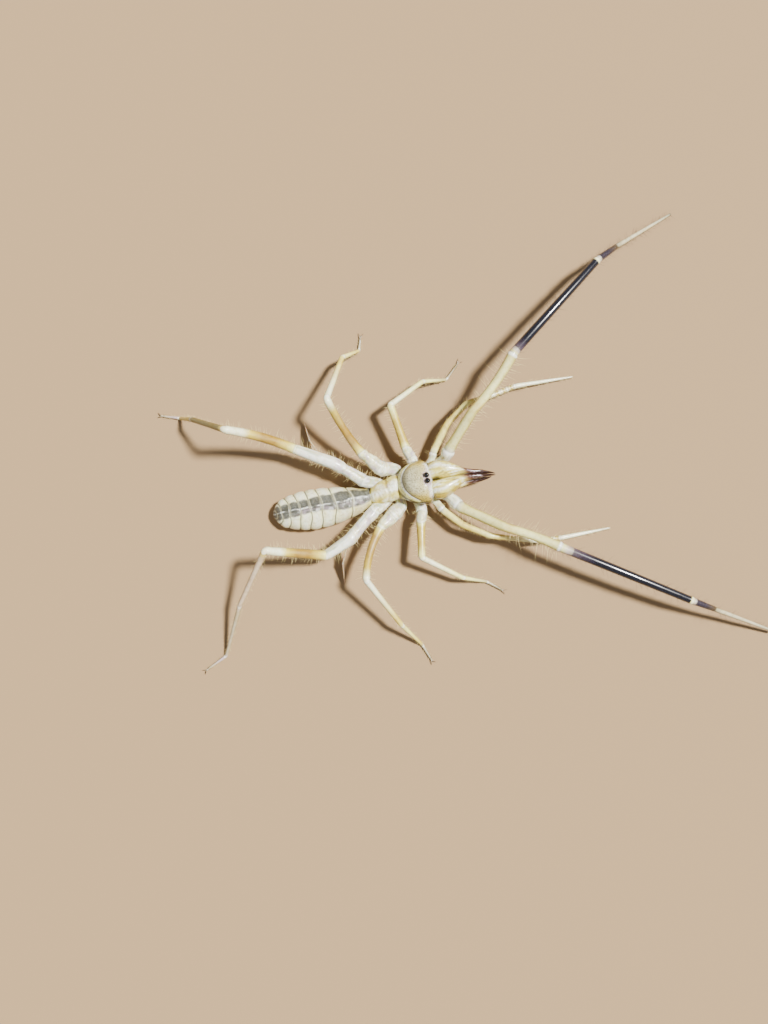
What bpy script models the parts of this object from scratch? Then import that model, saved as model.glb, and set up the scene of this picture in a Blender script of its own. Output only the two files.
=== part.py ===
"""Camel spider, a still model at life size, walking with its palps held out in front.

The body frame has its origin on the floor under the middle of the head shield's rear edge,
with x towards the jaws, y to the animal's left and z up. PLACE then sets that frame in the
model so that the whole animal is centred on the origin.
"""
import math
from dataclasses import dataclass

import bmesh
import bpy
import numpy as np
from mathutils import Matrix, Vector

MM = 0.001
GAP = 0.3 * MM
WELD = 0.0005 * MM
PLACE = Vector((-12.54, -0.7, 0.0)) * MM

# The body bends a little from side to side: (x, y) of its middle line.
MIDLINE = ((-27.3, -0.5), (-18.0, -0.95), (-8.0, -0.95), (0.0, 0.3), (5.0, 0.0), (9.0, -0.1),
           (13.5, 0.0), (20.5, -0.75))
# The head leans to its left: degrees, the height that it turns about, and how far it is up.
HEAD_ROLL = 12.0
HEAD_AXIS = 4.6
HEAD_LIFT = 0.35

ABDOMEN_FRONT = -5.9
ABDOMEN_SEGMENTS = (3.8, 3.6, 2.8, 2.35, 2.25, 2.15, 1.75, 1.2, 0.9)
ABDOMEN_HALF_WIDTHS = (1.75, 3.05, 3.8, 4.1, 4.2, 4.0, 3.5, 2.8, 1.9, 0.8)
ABDOMEN_TOPS = (5.2, 5.7, 5.9, 5.85, 5.7, 5.4, 4.9, 4.3, 3.75, 3.0)
ABDOMEN_WIDEST_LEVEL = 2.3
ABDOMEN_BOTTOMS = (2.2, 0.6, -0.1, -0.15, -0.15, -0.1, -0.05, 0.25, 0.75, 1.5)
GROOVE_DEPTH = 0.06
GROOVE_WIDTH = 0.35
TERGITE_RISE = 0.22
TERGITE_REACH = 0.42
# Turns in degrees of the points on a ring of the abdomen, from underneath up its left side.
ABDOMEN_TURNS = (-90, -66, -42, -18, 2, 22, 42, 58, 63, 76, 90)

# Sections of the body across x: (x, half width, bottom, widest level, top).
THORAX_PROFILE = (
    (-5.55, 1.6, 2.6, 4.0, 5.4), (-5.0, 2.0, 2.3, 4.0, 5.8), (-4.45, 2.15, 2.0, 4.1, 5.9),
    (-4.3, 2.25, 1.9, 4.1, 6.2), (-2.7, 2.5, 1.6, 4.1, 6.6), (-2.5, 2.5, 1.6, 4.1, 6.4),
    (-2.3, 2.55, 1.6, 4.1, 6.7), (-0.7, 2.6, 1.5, 4.1, 6.8), (-0.35, 2.55, 1.5, 4.0, 6.5),
    (-0.3, 2.55, 1.5, 3.6, 4.5), (3.0, 2.9, 1.5, 3.4, 4.5), (5.5, 2.9, 1.6, 3.2, 4.3),
    (6.9, 2.4, 1.8, 3.0, 3.9))
SHIELD_PROFILE = (
    (-0.05, 0.9, 5.1, 5.8, 6.3), (0.25, 1.75, 5.1, 5.8, 6.75), (0.7, 2.5, 5.1, 5.8, 7.25),
    (1.3, 3.15, 5.1, 5.8, 7.75), (2.1, 3.75, 5.1, 5.8, 8.2), (3.0, 4.2, 5.1, 5.8, 8.5),
    (4.8, 4.6, 5.1, 5.8, 8.7), (6.2, 4.55, 5.0, 5.7, 8.45), (6.9, 4.3, 5.0, 5.6, 8.1),
    (7.2, 3.9, 5.0, 5.6, 7.6))

# Sections of a jaw across x: (x, width, bottom, widest level, top, how far it stands away).
JAW_PROFILE = (
    (7.5, 3.1, 4.0, 5.7, 7.4, 0.0), (8.0, 3.75, 3.6, 5.7, 8.0, 0.0),
    (9.4, 3.65, 3.4, 5.7, 8.15, 0.0), (10.3, 3.2, 3.4, 5.7, 8.05, 0.0),
    (11.1, 2.95, 3.4, 5.6, 7.9, 0.0),
    (12.2, 2.65, 3.9, 5.5, 7.6, 0.0), (13.0, 2.15, 4.5, 5.5, 7.3, 0.0),
    (14.1, 1.5, 4.7, 5.5, 6.9, 0.0), (15.5, 1.15, 4.8, 5.4, 6.3, 0.0),
    (17.5, 0.85, 4.7, 5.1, 5.8, 0.0), (19.2, 0.55, 4.2, 4.6, 5.0, 0.05),
    (20.1, 0.35, 3.8, 4.05, 4.3, 0.1), (20.6, 0.2, 3.5, 3.6, 3.7, 0.12))
JAW_APART = 0.15
FINGER_PROFILE = (
    (11.6, 0.9, 2.4, 2.8, 3.25, 0.0), (12.1, 1.5, 2.1, 2.9, 3.55, 0.0),
    (12.9, 1.7, 2.1, 3.1, 3.95, 0.0), (14.0, 1.4, 2.1, 2.9, 3.6, 0.0),
    (15.6, 1.05, 2.2, 2.8, 3.4, 0.0), (17.4, 0.8, 2.5, 2.95, 3.4, 0.0),
    (18.8, 0.55, 2.95, 3.2, 3.5, 0.0), (19.6, 0.3, 3.3, 3.45, 3.6, 0.0))
FINGER_APART = 0.35

EYE_DIAMETER = 1.1
EYE_SPACING = 1.35
EYE_X = 6.2
EYE_Z = 8.95
EYE_SEAT = 0.15
MOUND_HALF_SIZES = (1.25, 1.5, 0.7)
MOUND_TOP = 8.65
MOUND_CENTRE = 8.3

# Teeth: the places along x, how far off the middle line, and the heights of root and tip.
JAW_TEETH = ((14.4, 15.3, 16.2, 17.1), 0.62, 5.1, 4.3)
FINGER_TEETH = ((14.9, 16.1, 17.2), 0.75, 3.1, 3.8)
TOOTH_ROOT = 0.55
TOOTH_LEAN = 0.18
CLAW_LENGTH = 1.5
CLAW_ROOT = 0.4
CLAW_SPREAD = 24.0
CLAW_DROP = 0.18
CLAW_HUMP = 0.25
CLAW_TIP = 0.16

# Each segment of a limb ends this far short of the plane of its joint.
HALF_SLIT = 0.15
# A tube runs on past its joints by this many of its own widths before it is trimmed.
RUN_ON = 1.4
STUMP_TAPER = 0.95
BULB_PLACE = 0.6


@dataclass(frozen=True)
class Segment:
    """One length of a limb: how long it is, where it heads in plan and where it ends."""

    length: float
    heading: float
    end_height: float


@dataclass(frozen=True)
class Limb:
    """A limb from its hip out: its segments, thicknesses in mm, and how it bends between joints."""

    hip: tuple
    segments: tuple
    widths: dict
    coxa: tuple  # the places that the hip stump runs through
    palp: bool = False
    bow: float = 0.0
    arch: float = 0.0


PALP_WIDTHS = {"base": (2.1, 3.0, 1.9, 2.2, 2.0), "patella": (1.9, 1.8, 2.1),
               "tibia": (1.9, 1.65, 1.55), "tarsus": (1.45, 1.3, 1.05, 0.8, 0.55)}
LEG1_WIDTHS = {"base": (1.4, 1.6, 1.4, 1.5, 1.4), "patella": (1.4, 1.3, 1.35),
               "tibia": (1.2, 1.05, 1.05), "tarsus": (1.05, 1.1, 1.0, 0.75, 0.5)}
LEG2_WIDTHS = {"base": (1.9, 2.4, 2.0, 2.1, 2.0), "patella": (1.9, 1.6, 1.5),
               "tibia": (1.25, 1.1, 1.0), "tarsus": (0.95, 0.75, 0.6, 0.55, 0.55)}
LEG3_WIDTHS = {"base": (2.4, 3.2, 2.9, 2.6, 2.0), "patella": (1.9, 1.5, 1.55),
               "tibia": (1.3, 1.15, 1.05), "tarsus": (1.0, 0.8, 0.65, 0.55, 0.55)}
LEG4_WIDTHS = {"base": (2.3, 2.6, 2.5, 2.6, 2.0), "patella": (2.0, 1.9, 1.65),
               "tibia": (1.35, 1.15, 1.05), "tarsus": (1.0, 0.8, 0.65, 0.55, 0.55)}

LIMBS = {
    "palp_left": Limb((10.9, 4.3, 3.5), (
        Segment(2.8, 55, 5.5), Segment(9.5, 47.9, 9.3), Segment(14.1, 44.1, 11.2),
        Segment(26.5, 37, 8.2), Segment(5.8, 26, 6.3), Segment(16.0, 22, 1.2)),
        PALP_WIDTHS, ((6.0, 1.7, 1.9), (9.0, 3.6, 1.9)), palp=True, bow=0.5, arch=1.2),
    "palp_right": Limb((10.4, -3.9, 3.5), (
        Segment(3.2, -58, 5.3), Segment(10.5, -36, 7.8), Segment(11.95, -30.8, 9.0),
        Segment(29.6, -33, 7.2), Segment(5.5, -31, 6.0), Segment(15.8, -31, 1.5)),
        PALP_WIDTHS, ((6.0, -1.5, 1.9), (8.8, -2.9, 1.9)), palp=True, bow=-0.3, arch=0.9),
    "leg1_left": Limb((8.2, 4.7, 3.5), (
        Segment(1.5, 67, 3.9), Segment(6.5, 53, 4.6), Segment(6.1, 35, 4.4),
        Segment(6.0, 7, 3.2), Segment(5.3, 12, 2.0), Segment(12.9, -1, 0.28)),
        LEG1_WIDTHS, ((5.0, 1.4, 2.6),)),
    "leg1_right": Limb((7.5, -4.4, 3.5), (
        Segment(2.1, -64, 3.9), Segment(5.2, -48, 4.6), Segment(6.4, -32, 4.6),
        Segment(10.4, -17, 3.2), Segment(5.0, -3, 2.0), Segment(11.1, 0, 0.28)),
        LEG1_WIDTHS, ((4.6, -1.2, 2.6),)),
    "leg2_left": Limb((4.3, 4.1, 3.2), (
        Segment(1.9, 100, 3.9), Segment(2.4, 112, 5.2), Segment(9.6, 99, 6.8),
        Segment(9.1, 27, 3.6), Segment(6.2, -2, 0.4), Segment(4.0, 44, 0.22)),
        LEG2_WIDTHS, ((3.2, 1.2, 2.6),)),
    "leg2_right": Limb((3.8, -3.9, 3.2), (
        Segment(2.0, -76.7, 3.9), Segment(2.4, -112.8, 5.2), Segment(7.65, -100, 6.6),
        Segment(10.0, -37.7, 3.8), Segment(6.5, -22.2, 0.4), Segment(3.6, -39.3, 0.22)),
        LEG2_WIDTHS, ((2.8, -1.0, 2.6),)),
    "leg3_left": Limb((0.4, 3.9, 3.2), (
        Segment(3.4, 164.7, 4.3), Segment(5.3, 130.8, 6.0), Segment(14.05, 112, 12.5),
        Segment(11.95, 62.3, 5.6), Segment(6.6, 23.2, 0.4), Segment(2.6, 73.6, 0.22)),
        LEG3_WIDTHS, ((0.4, 1.0, 2.6),), bow=-0.4),
    "leg3_right": Limb((0.2, -3.7, 3.2), (
        Segment(2.9, -143, 4.3), Segment(3.7, -147, 5.6), Segment(11.9, -116.6, 9.6),
        Segment(12.6, -63.7, 5.6), Segment(8.4, -58, 0.4), Segment(3.6, -70, 0.22)),
        LEG3_WIDTHS, ((0.2, -0.8, 2.6),), bow=0.8),
    "leg4_left": Limb((-3.8, 1.8, 2.8), (
        Segment(3.2, 160.8, 4.2), Segment(7.3, 138.5, 5.8), Segment(8.75, 149.1, 6.4),
        Segment(16.1, 155, 15.5), Segment(12.05, 149.8, 7.0), Segment(7.7, 155.8, 0.4),
        Segment(3.8, 161.6, 0.22)),
        LEG4_WIDTHS, ((-2.0, 0.6, 2.6),), bow=0.5),
    "leg4_right": Limb((-3.0, -2.4, 2.8), (
        Segment(3.1, -156.3, 4.2), Segment(8.1, -140.9, 5.6), Segment(5.9, -157.3, 5.8),
        Segment(14.5, 162.4, 14.4), Segment(15.1, -128.7, 6.8), Segment(13.6, -119.7, 0.4),
        Segment(4.9, -154.8, 0.22)),
        LEG4_WIDTHS, ((-1.8, -1.2, 2.6),)),
}

# Racquet organs under the base of each fourth leg: place along the base, how far the stalk
# reaches out, height of the fan's neck and span of the fan.
MALLEOLI = ((0.16, 0.5, 2.5, 2.2), (0.34, 0.8, 2.6, 3.0), (0.5, 1.2, 2.8, 4.2),
            (0.68, 5.2, 3.3, 7.6))
MALLEOLUS_STALK = 0.5
MALLEOLUS_SEAT = 0.3
MALLEOLUS_THICKNESS = 0.64
MALLEOLUS_FOOT = 0.6
MALLEOLUS_BACK = 0.42
MALLEOLUS_OUT = 0.9
MALLEOLUS_TURN = -0.12
MALLEOLUS_LEAN = 0.08
MALLEOLUS_LEAST = 0.47
MALLEOLUS_BEVEL = 0.7
# A fan's rings: how far down it, from the neck at 0 to the foot at 1, and its share of the span.
MALLEOLUS_RINGS = ((-0.15, 0.2), (0.3, 0.55), (0.7, 0.92), (1.0, 1.0))

CREAM = (0.86, 0.78, 0.62)
OCHRE = (0.70, 0.52, 0.30)
WAX_WHITE = (0.88, 0.86, 0.80)
GREY_BROWN = (0.55, 0.50, 0.42)
MAROON = (0.16, 0.05, 0.04)
BLUE_BLACK = (0.03, 0.035, 0.05)
MAUVE = (0.36, 0.28, 0.28)
EYE_BLACK = (0.01, 0.01, 0.01)


def material(name, color, roughness):
    """A Principled material with one colour and roughness."""
    made = bpy.data.materials.get(name)
    if made:
        return made
    made = bpy.data.materials.new(name)
    made.use_nodes = True
    shader = made.node_tree.nodes["Principled BSDF"]
    shader.inputs["Base Color"].default_value = (*color, 1.0)
    shader.inputs["Roughness"].default_value = roughness
    shader.inputs["Metallic"].default_value = 0.0
    made.diffuse_color = (*color, 1.0)
    return made


def mesh_object(name, shape, finish=None):
    """Puts a bmesh in the scene as an object and frees it."""
    bmesh.ops.remove_doubles(shape, verts=shape.verts, dist=WELD)
    bmesh.ops.recalc_face_normals(shape, faces=shape.faces)
    mesh = bpy.data.meshes.new(name)
    shape.to_mesh(mesh)
    shape.free()
    made = bpy.data.objects.new(name, mesh)
    bpy.context.scene.collection.objects.link(made)
    if finish:
        mesh.materials.append(finish)
        mesh.shade_smooth()
    return made


def taken_mesh(thing):
    """The bmesh of an object as its modifiers leave it; the object is removed."""
    graph = bpy.context.evaluated_depsgraph_get()
    mesh = bpy.data.meshes.new_from_object(thing.evaluated_get(graph))
    shape = bmesh.new()
    shape.from_mesh(mesh)
    shape.transform(thing.matrix_world)
    bmesh.ops.remove_doubles(shape, verts=shape.verts, dist=WELD)
    bpy.data.objects.remove(thing)
    bpy.data.meshes.remove(mesh)
    return shape


def tube(points, diameters, resolution=2):
    """A round tube along points (mm) with a diameter at each, closed by flat ends."""
    curve = bpy.data.curves.new("tube", "CURVE")
    curve.dimensions = "3D"
    curve.bevel_depth = 1.0 * MM
    curve.bevel_resolution = resolution
    curve.use_fill_caps = True
    spline = curve.splines.new("POLY")
    spline.points.add(len(points) - 1)
    for knot, place, diameter in zip(spline.points, points, diameters):
        knot.co = (*(Vector(place) * MM), 1.0)
        knot.radius = diameter / 2
    made = bpy.data.objects.new("tube", curve)
    bpy.context.scene.collection.objects.link(made)
    bpy.context.view_layer.update()
    shape = taken_mesh(made)
    bpy.data.curves.remove(curve)
    return shape


def trim(shape, place, outward):
    """Cuts off what lies past a plane and closes the cut with one face."""
    everything = shape.verts[:] + shape.edges[:] + shape.faces[:]
    cut = bmesh.ops.bisect_plane(shape, geom=everything, dist=WELD, plane_co=place,
                                 plane_no=outward, clear_outer=True)
    rim = [piece for piece in cut["geom_cut"] if isinstance(piece, bmesh.types.BMEdge)]
    if rim:
        bmesh.ops.holes_fill(shape, edges=rim, sides=0)


def fuse(name, shapes, finish):
    """Joins closed shapes into one body with a single union."""
    pieces = [mesh_object("piece", shape) for shape in shapes]
    body = pieces[0]
    others = bpy.data.collections.new("joined")
    bpy.context.scene.collection.children.link(others)
    for piece in pieces[1:]:
        others.objects.link(piece)
    union = body.modifiers.new("union", "BOOLEAN")
    union.operation = "UNION"
    union.operand_type = "COLLECTION"
    union.collection = others
    union.solver = "EXACT"
    bpy.context.view_layer.update()
    shape = taken_mesh(body)
    for piece in pieces[1:]:
        bpy.data.objects.remove(piece)
    bpy.data.collections.remove(others)
    keep_largest(shape)
    return mesh_object(name, shape, finish)


def cut_away(body, shapes):
    """Cuts closed shapes out of an object with one difference that stays as a modifier."""
    cutters = bpy.data.collections.new(body.name + "_cutters")
    bpy.context.scene.collection.children.link(cutters)
    for shape in shapes:
        cutter = mesh_object("room", shape)
        cutter.hide_render = True
        cutter.display_type = "WIRE"
        cutters.objects.link(cutter)
        bpy.context.scene.collection.objects.unlink(cutter)
    cut = body.modifiers.new("room", "BOOLEAN")
    cut.operation = "DIFFERENCE"
    cut.operand_type = "COLLECTION"
    cut.collection = cutters
    cut.solver = "EXACT"


def keep_largest(shape):
    """Drops every closed surface of a bmesh but the one with the most faces."""
    left = set(shape.faces)
    groups = []
    while left:
        stack = [left.pop()]
        group = [stack[0]]
        while stack:
            face = stack.pop()
            for edge in face.edges:
                for other in edge.link_faces:
                    if other in left:
                        left.discard(other)
                        stack.append(other)
                        group.append(other)
        groups.append(group)
    groups.sort(key=len)
    dropped = [face for group in groups[:-1] for face in group]
    bmesh.ops.delete(shape, geom=dropped, context="FACES")
    loose = [edge for edge in shape.edges if not edge.link_faces]
    bmesh.ops.delete(shape, geom=loose, context="EDGES")


def ellipsoid(centre, half_sizes, segments=12, rings=8):
    """A closed ball stretched to three half sizes (mm)."""
    shape = bmesh.new()
    bmesh.ops.create_uvsphere(shape, u_segments=segments, v_segments=rings, radius=1.0)
    bmesh.ops.scale(shape, vec=Vector(half_sizes) * MM, verts=shape.verts)
    bmesh.ops.translate(shape, vec=Vector(centre) * MM, verts=shape.verts)
    return shape


def spike(root, tip, thickness, sides=6):
    """A cone from a sunken root to a fine tip (mm)."""
    root = Vector(root)
    way = Vector(tip) - root
    shape = bmesh.new()
    bmesh.ops.create_cone(shape, segments=sides, radius1=thickness / 2 * MM, radius2=0.08 * MM,
                          depth=way.length * MM, cap_ends=True)
    turn = Vector((0, 0, 1)).rotation_difference(way.normalized()).to_matrix().to_4x4()
    bmesh.ops.transform(shape, matrix=turn, verts=shape.verts)
    bmesh.ops.translate(shape, vec=(root + way / 2) * MM, verts=shape.verts)
    return shape


def middle(x):
    """The sideways place of the body's middle line at x."""
    return float(np.interp(x, [place for place, _ in MIDLINE], [side for _, side in MIDLINE]))


def loft(stations, sides=20):
    """A skin over sections across x: each is (x, y, half width, bottom, widest level, top).

    A section is half an ellipse above its widest level and half an ellipse below it.
    """
    shape = bmesh.new()
    rings = []
    for x, y, half_width, bottom, level, top in stations:
        ring = []
        for side in range(sides):
            turn = 2 * math.pi * side / sides
            rise = (top - level) if math.sin(turn) > 0 else (level - bottom)
            place = Vector((x, y + half_width * math.cos(turn), level + rise * math.sin(turn)))
            ring.append(shape.verts.new(place * MM))
        rings.append(ring)
    skin_over(shape, rings)
    return shape


def skin_over(shape, rings):
    """Joins rings of points by quads and closes both ends."""
    count = len(rings[0])
    for first, second in zip(rings, rings[1:]):
        for side in range(count):
            after = (side + 1) % count
            shape.faces.new((first[side], first[after], second[after], second[side]))
    shape.faces.new(rings[0])
    shape.faces.new(rings[-1][::-1])


def abdomen():
    """The long soft abdomen: ringed by grooves, a plate raised on the back of each ring."""
    edges = ABDOMEN_FRONT - np.concatenate(([0.0], np.cumsum(ABDOMEN_SEGMENTS)))
    angles = np.radians(ABDOMEN_TURNS)
    turns = np.concatenate((angles, (np.pi - angles[1:-1])[::-1]))
    shape = bmesh.new()
    rings = []
    for segment, length in enumerate(ABDOMEN_SEGMENTS):
        groove = min(GROOVE_WIDTH / length, 0.2)
        for part, raised in ((0.0, False), (groove, True), (0.5, True), (1 - groove, True)):
            x = edges[segment] - part * length
            rings.append(abdomen_ring(shape, x, edges, turns, raised))
    rings.append(abdomen_ring(shape, edges[-1], edges, turns, False))
    skin_over(shape, rings)
    trim(shape, Vector((0, 0, 0)), Vector((0, 0, -1)))
    return mesh_object("abdomen", shape, material("abdomen_hide", CREAM, 0.55))


def abdomen_ring(shape, x, edges, turns, raised):
    """One ring of the abdomen: full between two grooves, drawn in at a groove."""
    order = slice(None, None, -1)
    half_width = float(np.interp(x, edges[order], ABDOMEN_HALF_WIDTHS[order]))
    top = float(np.interp(x, edges[order], ABDOMEN_TOPS[order]))
    bottom = float(np.interp(x, edges[order], ABDOMEN_BOTTOMS[order]))
    draw = 1.0 if raised else 1.0 - GROOVE_DEPTH
    level = min(ABDOMEN_WIDEST_LEVEL + 0.25 * max(bottom, 0.0), (top + bottom) / 2)
    across = half_width * draw * np.cos(turns)
    rise = np.where(np.sin(turns) > 0, (top - level) * draw, (level - bottom) * draw)
    up = level + rise * np.sin(turns)
    if raised:
        up = up + TERGITE_RISE * ((np.abs(across) < TERGITE_REACH * half_width) & (up > level))
    side = middle(x)
    return [shape.verts.new(Vector((x, side + y, z)) * MM) for y, z in zip(across, up)]


def thorax():
    """The rear back plates, the deck under the head shield and the hip stumps of all limbs."""
    shapes = [loft([(x, middle(x), *sizes) for x, *sizes in THORAX_PROFILE])]
    room = []
    for limb in LIMBS.values():
        hip = Vector(limb.hip)
        way = direction(limb.segments[0], limb.hip[2])
        wide = limb.widths["base"][0]
        path = [*(Vector(place) for place in limb.coxa), hip, hip + way]
        stump = tube(path, [wide * STUMP_TAPER] * len(limb.coxa) + [wide, wide])
        trim(stump, (hip - way * HALF_SLIT) * MM, way)
        shapes.append(stump)
        joints = limb_joints(limb)
        clear = tube((hip, hip.lerp(joints[1], BULB_PLACE), joints[1], joints[2]),
                     [width + 2 * GAP / MM for width in limb.widths["base"][:4]])
        trim(clear, (hip - way * HALF_SLIT) * MM, -way)
        room.append(clear)
    joined = fuse("thorax", shapes, material("thorax_hide", GREY_BROWN, 0.5))
    cut_away(joined, room)


def roll(shape):
    """Leans a shape of the head to the animal's left and lifts it."""
    axis = Vector((0, middle(EYE_X), HEAD_AXIS)) * MM
    turn = Matrix.Rotation(math.radians(-HEAD_ROLL), 3, "X")
    bmesh.ops.rotate(shape, cent=axis, matrix=turn, verts=shape.verts)
    bmesh.ops.translate(shape, vec=Vector((0, 0, HEAD_LIFT)) * MM, verts=shape.verts)


def head_shield():
    """The domed front plate with its lobes and the flat-topped mound that carries the eyes."""
    dome = loft([(x, middle(x), *sizes) for x, *sizes in SHIELD_PROFILE], 24)
    mound = ellipsoid((EYE_X, middle(EYE_X), MOUND_CENTRE), MOUND_HALF_SIZES)
    trim(mound, Vector((0, 0, MOUND_TOP)) * MM, Vector((0, 0, 1)))
    for shape in (dome, mound):
        roll(shape)
    fuse("head_shield", (dome, mound), material("shield_hide", GREY_BROWN, 0.45))


def eyes():
    """Two glossy black domes that sit on the flat top of the mound."""
    for name, side in (("eye_left", 1), ("eye_right", -1)):
        y = middle(EYE_X) + side * EYE_SPACING / 2
        ball = ellipsoid((EYE_X, y, EYE_Z), [EYE_DIAMETER / 2] * 3)
        trim(ball, Vector((0, 0, MOUND_TOP + EYE_SEAT)) * MM, Vector((0, 0, -1)))
        roll(ball)
        mesh_object(name, ball, material("eye_gloss", EYE_BLACK, 0.05))


def jaw_half(name, side, profile, apart, teeth, sides, finish):
    """One toothed finger of a jaw, on the left (side 1) or right (side -1) of the middle line."""
    stations = []
    for x, width, low, level, top, away in profile:
        y = middle(x) + side * (width / 2 + apart + away)
        stations.append((x, y, width / 2, low, level, top))
    shapes = [loft(stations, sides)]
    places, off, root, tip = teeth
    for x in places:
        y = middle(x) + side * off
        shapes.append(spike((x, y, root), (x + TOOTH_LEAN, y, tip), TOOTH_ROOT))
    for shape in shapes:
        roll(shape)
    fuse(name, shapes, finish)


def jaw(word, side):
    """A chelicera: the swollen base with its fixed upper finger, and the hinged lower finger."""
    jaw_half("chelicera_" + word, side, JAW_PROFILE, JAW_APART, JAW_TEETH, 14,
             material("jaw_base", CREAM, 0.35))
    jaw_half("finger_" + word, side, FINGER_PROFILE, FINGER_APART, FINGER_TEETH, 12,
             material("jaw_finger", MAROON, 0.3))


def direction(segment, start_height):
    """The unit vector of a segment that starts at a height."""
    rise = segment.end_height - start_height
    run = math.sqrt(segment.length ** 2 - rise ** 2)
    heading = math.radians(segment.heading)
    return Vector((run * math.cos(heading), run * math.sin(heading), rise)).normalized()


def limb_joints(limb):
    """The places (mm) of a limb's joints, from the hip to the tip."""
    joints = [Vector(limb.hip)]
    for segment in limb.segments:
        joints.append(joints[-1] + direction(segment, joints[-1].z) * segment.length)
    return joints


def bent(start, end, count, bow, arch):
    """Points from start to end, pushed sideways and up by a parabola."""
    way = (end - start).normalized()
    sideways = Vector((-way.y, way.x, 0.0)).normalized()
    points = []
    for step in range(count + 1):
        part = step / count
        push = 4 * part * (1 - part)
        points.append(start.lerp(end, part) + sideways * bow * push + Vector((0, 0, arch)) * push)
    return points


def spread_widths(widths, count):
    """The diameters at count + 1 evenly spaced points, between the given ones."""
    places = np.linspace(0, 1, len(widths))
    return np.interp(np.linspace(0, 1, count + 1), places, widths)


def mitre(before, joint, after):
    """The unit normal of the plane that halves the bend at a joint."""
    return ((joint - before).normalized() + (after - joint).normalized()).normalized()


def limb_piece(points, widths, start_normal, end_normal):
    """A tube through the points, run on past both ends and trimmed there by the joint planes."""
    first = (points[0] - points[1]).normalized() * widths[0] * RUN_ON
    last = (points[-1] - points[-2]).normalized() * widths[-1] * RUN_ON
    long_points = [points[0] + first, *points[1:-1], points[-1] + last]
    shape = tube(long_points, widths)
    trim(shape, (points[0] + start_normal * HALF_SLIT) * MM, -start_normal)
    if end_normal is not None:
        trim(shape, (points[-1] - end_normal * HALF_SLIT) * MM, end_normal)
    return shape


def claws(tip, way):
    """Two fine curved claws that spread from the end of a foot and touch down at their tips."""
    flat = Vector((way.x, way.y, 0.0)).normalized()
    shapes = []
    for side in (1, -1):
        turn = math.radians(side * CLAW_SPREAD)
        out = Vector((flat.x * math.cos(turn) - flat.y * math.sin(turn),
                      flat.x * math.sin(turn) + flat.y * math.cos(turn), 0.0))
        root = tip - flat * 0.3 + Vector((0, 0, 0.05))
        hump = tip + out * CLAW_LENGTH * 0.55 + Vector((0, 0, CLAW_HUMP))
        end = tip + out * CLAW_LENGTH + Vector((0, 0, -tip.z + CLAW_DROP))
        shapes.append(tube((root, hump, end), (CLAW_ROOT, CLAW_ROOT * 0.85, CLAW_TIP), 1))
    return shapes


def malleolus(name, root, side, sizes, room):
    """A racquet organ under a leg's base: a thin stalk to a fan that hangs across the body.

    The stalk starts inside the leg, and the room is the leg's own form, a little enlarged, which
    is cut away from it.
    """
    _, reach, neck_height, span = sizes
    neck = Vector((root.x - MALLEOLUS_BACK * reach, root.y + side * MALLEOLUS_OUT * reach,
                   neck_height))
    across = Vector((MALLEOLUS_TURN, side, 0.0)).normalized()
    thick = Vector((across.y, -across.x, 0.0)) * MALLEOLUS_THICKNESS / 2
    shape = bmesh.new()
    rings = []
    for part, spread in MALLEOLUS_RINGS:
        height = neck_height + (MALLEOLUS_FOOT - neck_height) * part
        centre = Vector((neck.x, neck.y, height)) + across * MALLEOLUS_LEAN * span * part
        half = across * max(span * spread / 2, MALLEOLUS_LEAST)
        inner = half * MALLEOLUS_BEVEL
        corners = (centre + half, centre + inner + thick, centre - inner + thick,
                   centre - half, centre - inner - thick, centre + inner - thick)
        rings.append([shape.verts.new(corner * MM) for corner in corners])
    skin_over(shape, rings)
    stem = tube((root, root.lerp(neck, 0.5), neck), [MALLEOLUS_STALK] * 3)
    made = fuse(name, (stem, shape), material("organ_mauve", MAUVE, 0.5))
    cut_away(made, [room])


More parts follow.
